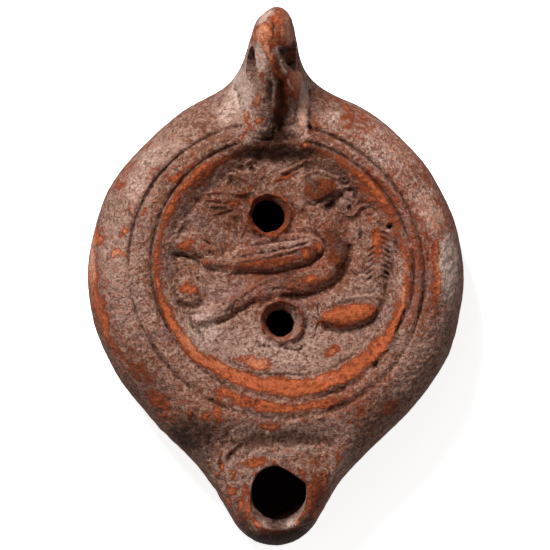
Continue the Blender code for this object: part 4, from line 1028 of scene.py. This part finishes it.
def roughen(form, clay):
    """Coarse outside the rim and in its own places, finer on the disc, where the clay is rubbed and at the wick."""
    x, y = surface_points(form)[0].T[:2] / MM
    outside = ease(-2.0, 3.0, inner_rim(x, y))
    rubbed = np.maximum(patches(x, y, WORN), worn_rings(x, y))
    coarse = COARSE_ON_DISC + (COARSE_OUTSIDE - COARSE_ON_DISC) * outside
    coarse = coarse * (1 - COARSE_LOST_BY_RUBBING * rubbed) * ease(-1.5, 3.0, -outer_edge(x, y))
    coarse = coarse + COARSE_IN_PLACES * patches(x, y, COARSE_PLACES)
    from_wick = np.hypot((x - WICK_MIDDLE[0]) / WICK_RADII[0], (y - WICK_MIDDLE[1]) / WICK_RADII[1])
    coarse = coarse * (1 - COARSE_LOST_AT_WICK * (1 - ease(1.0, 1.3, from_wick)))
    keep_on_surface(form, "coarse", coarse)
    tree = rough_surface(clay)
    surface = form.modifiers.new("rough_surface", "NODES")
    surface.node_group = tree
    for socket in tree.interface.items_tree:
        if socket.in_out == "INPUT" and socket.name in ROUGHNESS:
            surface[socket.identifier] = ROUGHNESS[socket.name]
    settle(form)


def surface_points(form):
    """Places and normals of a form's points, in metres."""
    count = len(form.data.vertices)
    found = []
    for name in ("co", "normal"):
        values = np.empty(count * 3)
        form.data.vertices.foreach_get(name, values)
        found.append(values.reshape(-1, 3))
    return found


def keep_on_surface(form, name, values):
    """Keeps one value for each point of a form, under a name that the nodes read."""
    kept = form.data.attributes.new(name, "FLOAT", "POINT")
    kept.data.foreach_set("value", values.astype(np.float32))


def hollowness(points, normals, edges, rounds):
    """How far each point lies below its smoothed surroundings, in millimetres. Raised points are negative."""
    count = len(points)
    a, b = edges[:, 0], edges[:, 1]
    shared = np.bincount(a, minlength=count) + np.bincount(b, minlength=count)
    smooth = points.copy()
    for _ in range(rounds):
        mean = [np.bincount(a, smooth[b, k], count) + np.bincount(b, smooth[a, k], count) for k in range(3)]
        smooth = (smooth + np.stack(mean, axis=1) / shared[:, None]) / 2
    return ((smooth - points) * normals).sum(axis=1) / MM


# A patch's ragged edge: sway, lump size and seed of each unevenness. The patch is full up to the first share of its
# half size, and fades out at the second
RAGGED_EDGE = ((0.55, 1.9, 41), (0.25, 0.8, 42))
PATCH_FULL, PATCH_END = 0.3, 1.6


def patches(x, y, places):
    """How strongly each point lies in one of the patches, with ragged edges."""
    ragged_x, ragged_y = (
        start + sum(sway * mottle(x, y, lump, seed + step) for sway, lump, seed in RAGGED_EDGE)
        for start, step in ((x, 0), (y, 2))
    )
    total = np.zeros(np.shape(x))
    for px, py, half_x, half_y, turn, amount in places:
        cos, sin = math.cos(math.radians(turn)), math.sin(math.radians(turn))
        dx, dy = ragged_x - px, ragged_y - py
        away = np.hypot((dx * cos + dy * sin) / half_x, (dy * cos - dx * sin) / half_y)
        total = np.maximum(total, amount * (1 - ease(PATCH_FULL, PATCH_END, away)))
    return total


# Wear of the sloping band inside the rim: direction from the disc's centre in degrees, where the band starts
# and ends, and how far it is worn
BAND = np.array([
    (-180, 25.6, 27, 0.42), (-168, 25.4, 27, 0.65), (-155, 25, 27, 0.75), (-130, 24, 26.6, 0.85),
    (-110, 23.2, 26.3, 0.9), (-90, 22.8, 26, 0.95), (-65, 23, 26, 0.85), (-40, 23.4, 26.2, 0.9),
    (-15, 24, 26.4, 0.48), (10, 24.2, 26.6, 0.32), (35, 24.4, 26.6, 0.5), (60, 25, 26.8, 0.4), (90, 25, 26.5, 0.1),
    (115, 24.6, 26.5, 0.4), (140, 24.8, 26.6, 0.5), (160, 25.4, 26.8, 0.3), (180, 25.4, 27, 0.45),
])
BAND_LUMPS, BAND_GRAIN = (3.2, 51), (1.3, 52)
# the piece of ridge that is worn too: its inner and outer radius, and its directions in degrees
RIDGE_RADII, RIDGE_WAYS = (28.0, 29.7), (-118, -68)
RIDGE_WEAR = 0.75


def worn_rings(x, y):
    """The band inside the rim and a short piece of the ridge outside it, rubbed down to the clay."""
    ragged = 0.6 * mottle(x, y, *BAND_LUMPS) + 0.35 * mottle(x, y, *BAND_GRAIN)
    radius = disc_distance(x, y, DISC_CENTRE) + ragged
    direction = np.degrees(np.arctan2(y - DISC_CENTRE[1], x - DISC_CENTRE[0]))
    start, end, wear = (np.interp(direction, BAND[:, 0], BAND[:, k]) for k in (1, 2, 3))
    band = ease(-0.9, 0.9, radius - start) * (1 - ease(-0.8, 0.8, radius - end))
    ridge = ease(-0.4, 0.4, radius - RIDGE_RADII[0]) * (1 - ease(-0.4, 0.4, radius - RIDGE_RADII[1]))
    ridge = ridge * ease(-7, 6, direction - RIDGE_WAYS[0]) * (1 - ease(-8, 8, direction - RIDGE_WAYS[1]))
    return np.maximum(band * wear, RIDGE_WEAR * ridge)


def near_lips(x, y):
    """1 on the lips of the filling and air holes, 0 away from them."""
    found = np.zeros(np.shape(x))
    for (cx, cy), radius, *_ in (FILLING_HOLE, AIR_HOLE):
        away = np.abs(np.hypot(x - cx, y - cy) - radius - 0.3)
        found = np.maximum(found, 1 - ease(0.4, 1.4, away))
    return found


def in_reservoir(x, y, z):
    """1 on the reservoir's walls, 0 outside them."""
    inside = ease(0, 1.5, -bowl_edge(x, y) - WALL + 1.5)
    return inside * (z < cavity_top(x, y) + 0.8) * (z > cavity_bottom(x, y) - 0.8)


def in_wick_hole(x, y, z):
    """1 on the slope inside the wick hole's rim, 0 away from it."""
    (cx, cy), (half_x, half_y) = WICK_THROAT_CENTRE, WICK_SHADE_RADII
    near = np.hypot((x - cx) / half_x, (y - cy) / half_y) < 1
    return near * ease(0.5, 1.1, NOZZLE_TOP_HEIGHT - z) * (z > SEAM_HEIGHT)


def in_handle_hole(x, y, z):
    """1 in the hole across the handle, 0 outside it."""
    lean = math.radians(HANDLE_HOLE_LEAN)
    mouth, shift = (np.interp(x, HANDLE_HOLE_RUN[:, 0], HANDLE_HOLE_RUN[:, k]) for k in (1, 2))
    behind, above = y - HANDLE_HOLE[0] - shift, z - HANDLE_HOLE[1]
    across = (behind * math.cos(lean) - above * math.sin(lean)) / HANDLE_HOLE_RADII[0]
    along = (behind * math.sin(lean) + above * math.cos(lean)) / HANDLE_HOLE_RADII[1]
    return 1 - ease(1.0, 1.08, np.hypot(across, along) / mouth)


# Rounds of smoothing that find narrow and wide hollows, and the depth in millimetres of a full crest or hollow
NARROW_ROUNDS, WIDE_ROUNDS = 5, 45
NARROW_CREST, WIDE_CREST = 0.06, 0.28
NARROW_HOLLOW, WIDE_HOLLOW = 0.09, 0.4
# the oval round the wick hole that holds its inner slope, and how far down the slope the painted shade starts and is
# full
WICK_SHADE_RADII = (6.6, 8.4)
WICK_PAINTED_SHADE_FROM, WICK_PAINTED_SHADE_TO = 0.6, 4.2
# how far out on the nozzle soot begins and is full, and the height above which the handle's break shows
SOOT_FROM, SOOT_TO = 50.6, 55.0
BREAK_LEVEL = 30.0


def weather(form):
    """Keeps, at each point of the surface, how far it is worn, pale, ruddy, dark and hollow."""
    points, normals = surface_points(form)
    edges = np.empty(len(form.data.edges) * 2, int)
    form.data.edges.foreach_get("vertices", edges)
    edges = edges.reshape(-1, 2)
    x, y, z = (points / MM).T
    on_top = ease(-0.05, 0.25, normals[:, 2]) * ease(SEAM_HEIGHT - 2.0, SEAM_HEIGHT + 2.0, z)
    narrow, wide = (hollowness(points, normals, edges, rounds) for rounds in (NARROW_ROUNDS, WIDE_ROUNDS))
    crest = 0.2 * np.clip(-wide / WIDE_CREST, 0, 1) + 0.1 * np.clip(-narrow / NARROW_CREST, 0, 1)
    clouds = 0.5 + 0.5 * mottle(x + z, y, *CLOUDS)
    in_wick = in_wick_hole(x, y, z)
    broken = in_break(x, y) * ease(BREAK_LEVEL, BREAK_LEVEL + 2.0, z)
    in_handle = np.maximum(in_handle_hole(x, y, z), broken)
    soot = 1.1 * ease(SOOT_FROM, SOOT_TO, 1.2 * mottle(x + z, y, *SOOT_LUMPS) - y) * (1 - in_wick)
    worn = np.maximum(patches(x, y, WORN), worn_rings(x, y)) * on_top + crest + 0.12 * clouds
    worn = worn + 0.2 * clouds * (1 - on_top) + 0.3 * on_top * near_lips(x, y)
    # the wick hole's inner slope is painted pale near its rim as light, and dark further down as shade
    pale = np.maximum(patches(x, y, PALE_AND_LIT_PATCHES) * on_top * (1 - in_handle), 0.6 * in_wick)
    dark = [
        patches(x, y, DARK_AND_SHADED_PATCHES) * on_top * (1 - in_wick), 0.9 * in_reservoir(x, y, z),
        in_wick * ease(WICK_PAINTED_SHADE_FROM, WICK_PAINTED_SHADE_TO, NOZZLE_TOP_HEIGHT - z), 0.5 * in_handle, 0.8 * broken, soot,
    ]
    marks = {
        "worn": worn * (1 - in_wick) * (1 - 0.8 * in_handle) * (1 - 0.6 * soot),
        "pale": pale + 0.3 * clouds * (1 - on_top) * (1 - in_wick),
        "ruddy": patches(x, y, RUDDY) * on_top + 0.4 * (1 - clouds) * (1 - on_top),
        "dark": np.max(dark, axis=0),
        "hollow": 0.7 * np.clip(wide / WIDE_HOLLOW, 0, 1) + 0.2 * np.clip(narrow / NARROW_HOLLOW, 0, 1),
    }
    for name, values in marks.items():
        keep_on_surface(form, name, np.clip(values, 0, 1))


# Sockets of a colour mixing node
SHARE, FIRST, SECOND, MIXED = 0, 6, 7, 2

# Patterns in the surface: the real size of each in millimetres, its detail and how rough that is. Clouds are uneven
# firing, blotches are where the slip flakes, the veil is its chalky bloom, grains and specks are temper and pits; the
# grain also paints light on what it raises and shade in its pits
PATTERNS = (
    ("cloud", 7.0, 2.0, 0.5), ("blotch", 1.8, 5.0, 0.7), ("veil", 1.4, 4.0, 0.76), ("grain", 0.7, 3.0, 0.85),
    ("speck", 0.9, 2.0, 0.6),
)
MARKS = ("worn", "pale", "ruddy", "dark", "hollow")

# Layers over the slip's ground, in order: what each follows and how strongly, from where to where it comes in,
# how far it covers, and its colour
LAYERS = (
    ((("ruddy", 1.0), ("cloud", 0.8)), 0.25, 1.3, 0.9, "#A3553B"),
    ((("cloud", 1.0), ("blotch", 0.8)), 0.9, 1.04, 0.5, "#85706D"),
    ((("veil", 1.0), ("grain", 0.3), ("pale", 0.3), ("ruddy", -0.12)), 0.54, 0.82, 0.85, "#C09886"),
    ((("pale", 1.0), ("veil", 0.8)), 0.85, 1.6, 0.75, "#D6BAAD"),
    ((("speck", -1.0),), -0.38, -0.3, 0.6, "#4A2C22"),
    ((("worn", 1.0), ("blotch", 2.0), ("grain", 1.9)), 2.38, 2.54, 1.0, "#98482A"),
    ((("worn", 1.0), ("blotch", 1.6), ("veil", 0.8)), 1.9, 2.25, 0.92, "#CB6A40"),
    ((("pale", 1.0), ("veil", 0.8), ("grain", 0.4)), 1.1, 1.5, 0.8, "#EBC8B8"),
    ((("worn", 1.0), ("pale", 1.0), ("blotch", 0.8)), 1.5, 2.0, 0.6, "#EE9C74"),
    ((("hollow", 1.0), ("blotch", 0.5)), 0.5, 1.3, 0.8, "#472519"),
    ((("dark", 1.0), ("blotch", 0.8)), 0.55, 1.45, 0.94, "#2C1207"),
)
GROUND_COLOUR = "#8A5A45"
# the layer that is smoother bare clay
BARE_LAYER = 5
# how far the grain darkens and lightens everything, and between which of its values; as the grain also dents the
# surface, raised grain comes out lighter and its pits darker, partly painted light and shade
GRAIN_SHADE, GRAIN_RANGE = (0.62, 1.34), (0.3, 0.7)
SLIP_ROUGHNESS, BARE_ROUGHNESS = 0.86, 0.68
CLAY_SHEEN = 0.09
# how deep each pattern dents the surface, in millimetres
DENTS = (("veil", 0.62), ("speck", 0.45), ("grain", 0.36))


def worn_slip_on_fired_clay():
    """Low-fired earthenware, pressed in a mould and dipped in a thin iron-rich slip. The slip is matt, grey-brown to
    red, and has rubbed through to smoother orange clay on what stands out. What lies deep is darker."""
    clay = bpy.data.materials.new("worn_slip_on_fired_clay")
    clay.use_nodes = True
    tree = clay.node_tree
    shader = tree.nodes["Principled BSDF"]
    place = add(tree, "ShaderNodeTexCoord").outputs["Object"]
    seen = {name: add(tree, "ShaderNodeAttribute", attribute_name=name).outputs["Fac"] for name in MARKS}
    for name, size, detail, rough in PATTERNS:
        settings = {"Vector": place, "Scale": 1 / (size * MM), "Detail": detail, "Roughness": rough}
        seen[name] = add(tree, "ShaderNodeTexNoise", settings).outputs["Fac"]
    surface, shares = linear(GROUND_COLOUR), []
    for parts, low, high, most, colour in LAYERS:
        total = 0.0
        for name, factor in parts:
            sum_inputs = {0: seen[name], 1: factor, 2: total}
            total = add(tree, "ShaderNodeMath", sum_inputs, operation="MULTIPLY_ADD").outputs[0]
        settings = {"Value": total, "From Min": low, "From Max": high, "To Max": most}
        shares.append(add(tree, "ShaderNodeMapRange", settings, interpolation_type="SMOOTHSTEP").outputs[0])
        settings = {SHARE: shares[-1], FIRST: surface, SECOND: linear(colour)}
        surface = add(tree, "ShaderNodeMix", settings, data_type="RGBA").outputs[MIXED]
    settings = {"Value": seen["grain"], "From Min": GRAIN_RANGE[0], "From Max": GRAIN_RANGE[1],
                "To Min": GRAIN_SHADE[0], "To Max": GRAIN_SHADE[1]}
    shade = add(tree, "ShaderNodeMapRange", settings).outputs[0]
    settings = {SHARE: 1.0, FIRST: surface, SECOND: shade}
    surface = add(tree, "ShaderNodeMix", settings, data_type="RGBA", blend_type="MULTIPLY").outputs[MIXED]
    tree.links.new(surface, shader.inputs["Base Color"])
    settings = {"Value": shares[BARE_LAYER], "To Min": SLIP_ROUGHNESS, "To Max": BARE_ROUGHNESS}
    tree.links.new(add(tree, "ShaderNodeMapRange", settings).outputs[0], shader.inputs["Roughness"])
    normal = None
    for name, depth in DENTS:
        settings = {"Height": seen[name], "Strength": 1.0, "Distance": depth * MM}
        if normal is not None:
            settings["Normal"] = normal
        normal = add(tree, "ShaderNodeBump", settings).outputs[0]
    tree.links.new(normal, shader.inputs["Normal"])
    shader.inputs["Specular IOR Level"].default_value = CLAY_SHEEN
    return clay


TABLE_HALF_WIDTH = 3.0
TABLE_GLOW = 0.79


def matt_table():
    """A white laminate table top, painted matt, that takes only a faint shadow under the studio's light."""
    white = bpy.data.materials.new("matt_white_laminate")
    white.use_nodes = True
    tree = white.node_tree
    shader = tree.nodes["Principled BSDF"]
    place = add(tree, "ShaderNodeTexCoord").outputs["Object"]
    texture = add(tree, "ShaderNodeTexNoise", {"Vector": place, "Scale": 1 / (1.5 * MM), "Detail": 2.0})
    bump = {"Height": texture.outputs["Fac"], "Strength": 0.1, "Distance": 0.05 * MM}
    tree.links.new(add(tree, "ShaderNodeBump", bump).outputs[0], shader.inputs["Normal"])
    shader.inputs["Base Color"].default_value = linear("#F4F3F1")
    shader.inputs["Roughness"].default_value = 0.7
    shader.inputs["Emission Color"].default_value = (1, 1, 1, 1)
    shader.inputs["Emission Strength"].default_value = TABLE_GLOW
    return white


def floor(material):
    """The table under the lamp."""
    half = TABLE_HALF_WIDTH
    mesh = bpy.data.meshes.new("table_top")
    mesh.from_pydata([(-half, -half, 0), (half, -half, 0), (half, half, 0), (-half, half, 0)], [], [(0, 1, 2, 3)])
    top = bpy.data.objects.new("table_top", mesh)
    bpy.context.collection.objects.link(top)
    mesh.materials.append(material)
    return top


def studio_light(name, place, aim, size, power):
    """A soft square light."""
    light = bpy.data.lights.new(name, "AREA")
    light.size = size
    light.energy = power
    lamp = bpy.data.objects.new(name, light)
    bpy.context.collection.objects.link(lamp)
    lamp.location = place
    lamp.rotation_euler = (Vector(aim) - Vector(place)).to_track_quat("-Z", "Y").to_euler()


# The photograph looks straight down: its frame is 114.6 mm wide where the lamp's widest line lies
FRAME_WIDTH = 114.58 * MM
FRAME_CENTRE = (0.0, 0.31 * MM)
FRAME_LEVEL = 15.0 * MM
CAMERA_DISTANCE = 3.0
WINDOW_PLACE = (-0.19, 0.40, 0.53)
WINDOW_WIDTH = 0.2
WINDOW_POWER = 5.9
ROOM_LIGHT = 0.23


def studio():
    """Camera, soft light and pale surroundings."""
    scene = bpy.context.scene
    eye = bpy.data.cameras.new("camera")
    eye.sensor_width = 36.0
    eye.lens = eye.sensor_width * CAMERA_DISTANCE / FRAME_WIDTH
    eye.clip_start, eye.clip_end = 0.1, 20.0
    camera = bpy.data.objects.new("camera", eye)
    bpy.context.collection.objects.link(camera)
    camera.location = (*FRAME_CENTRE, FRAME_LEVEL + CAMERA_DISTANCE)
    scene.camera = camera
    scene.view_settings.view_transform = "Standard"
    studio_light("window_light", WINDOW_PLACE, (0, 0, FRAME_LEVEL), WINDOW_WIDTH, WINDOW_POWER)
    world = bpy.data.worlds.new("pale_room")
    scene.world = world
    world.use_nodes = True
    background = world.node_tree.nodes["Background"]
    background.inputs["Color"].default_value = (1.0, 0.99, 0.98, 1)
    background.inputs["Strength"].default_value = ROOM_LIGHT


def main():
    """Makes the lamp, dresses it, and sets the table, light and camera."""
    clay = worn_slip_on_fired_clay()
    lamp = outer_form()
    holes = [funnel("filling_hole", FILLING_HOLE, FILLING_HOLE_SEED), funnel("air_hole", AIR_HOLE, AIR_HOLE_SEED)]
    cut(lamp, [cavity_form(), *holes, wick_hole(), handle_hole()])
    roughen(lamp, clay)
    weather(lamp)
    lamp.data.shade_smooth()
    lamp.data.set_sharp_from_angle(angle=math.radians(60))
    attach(lamp, "root")
    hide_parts(NODE)
    top = floor(matt_table())
    top.visible_diffuse = False
    studio()


main()
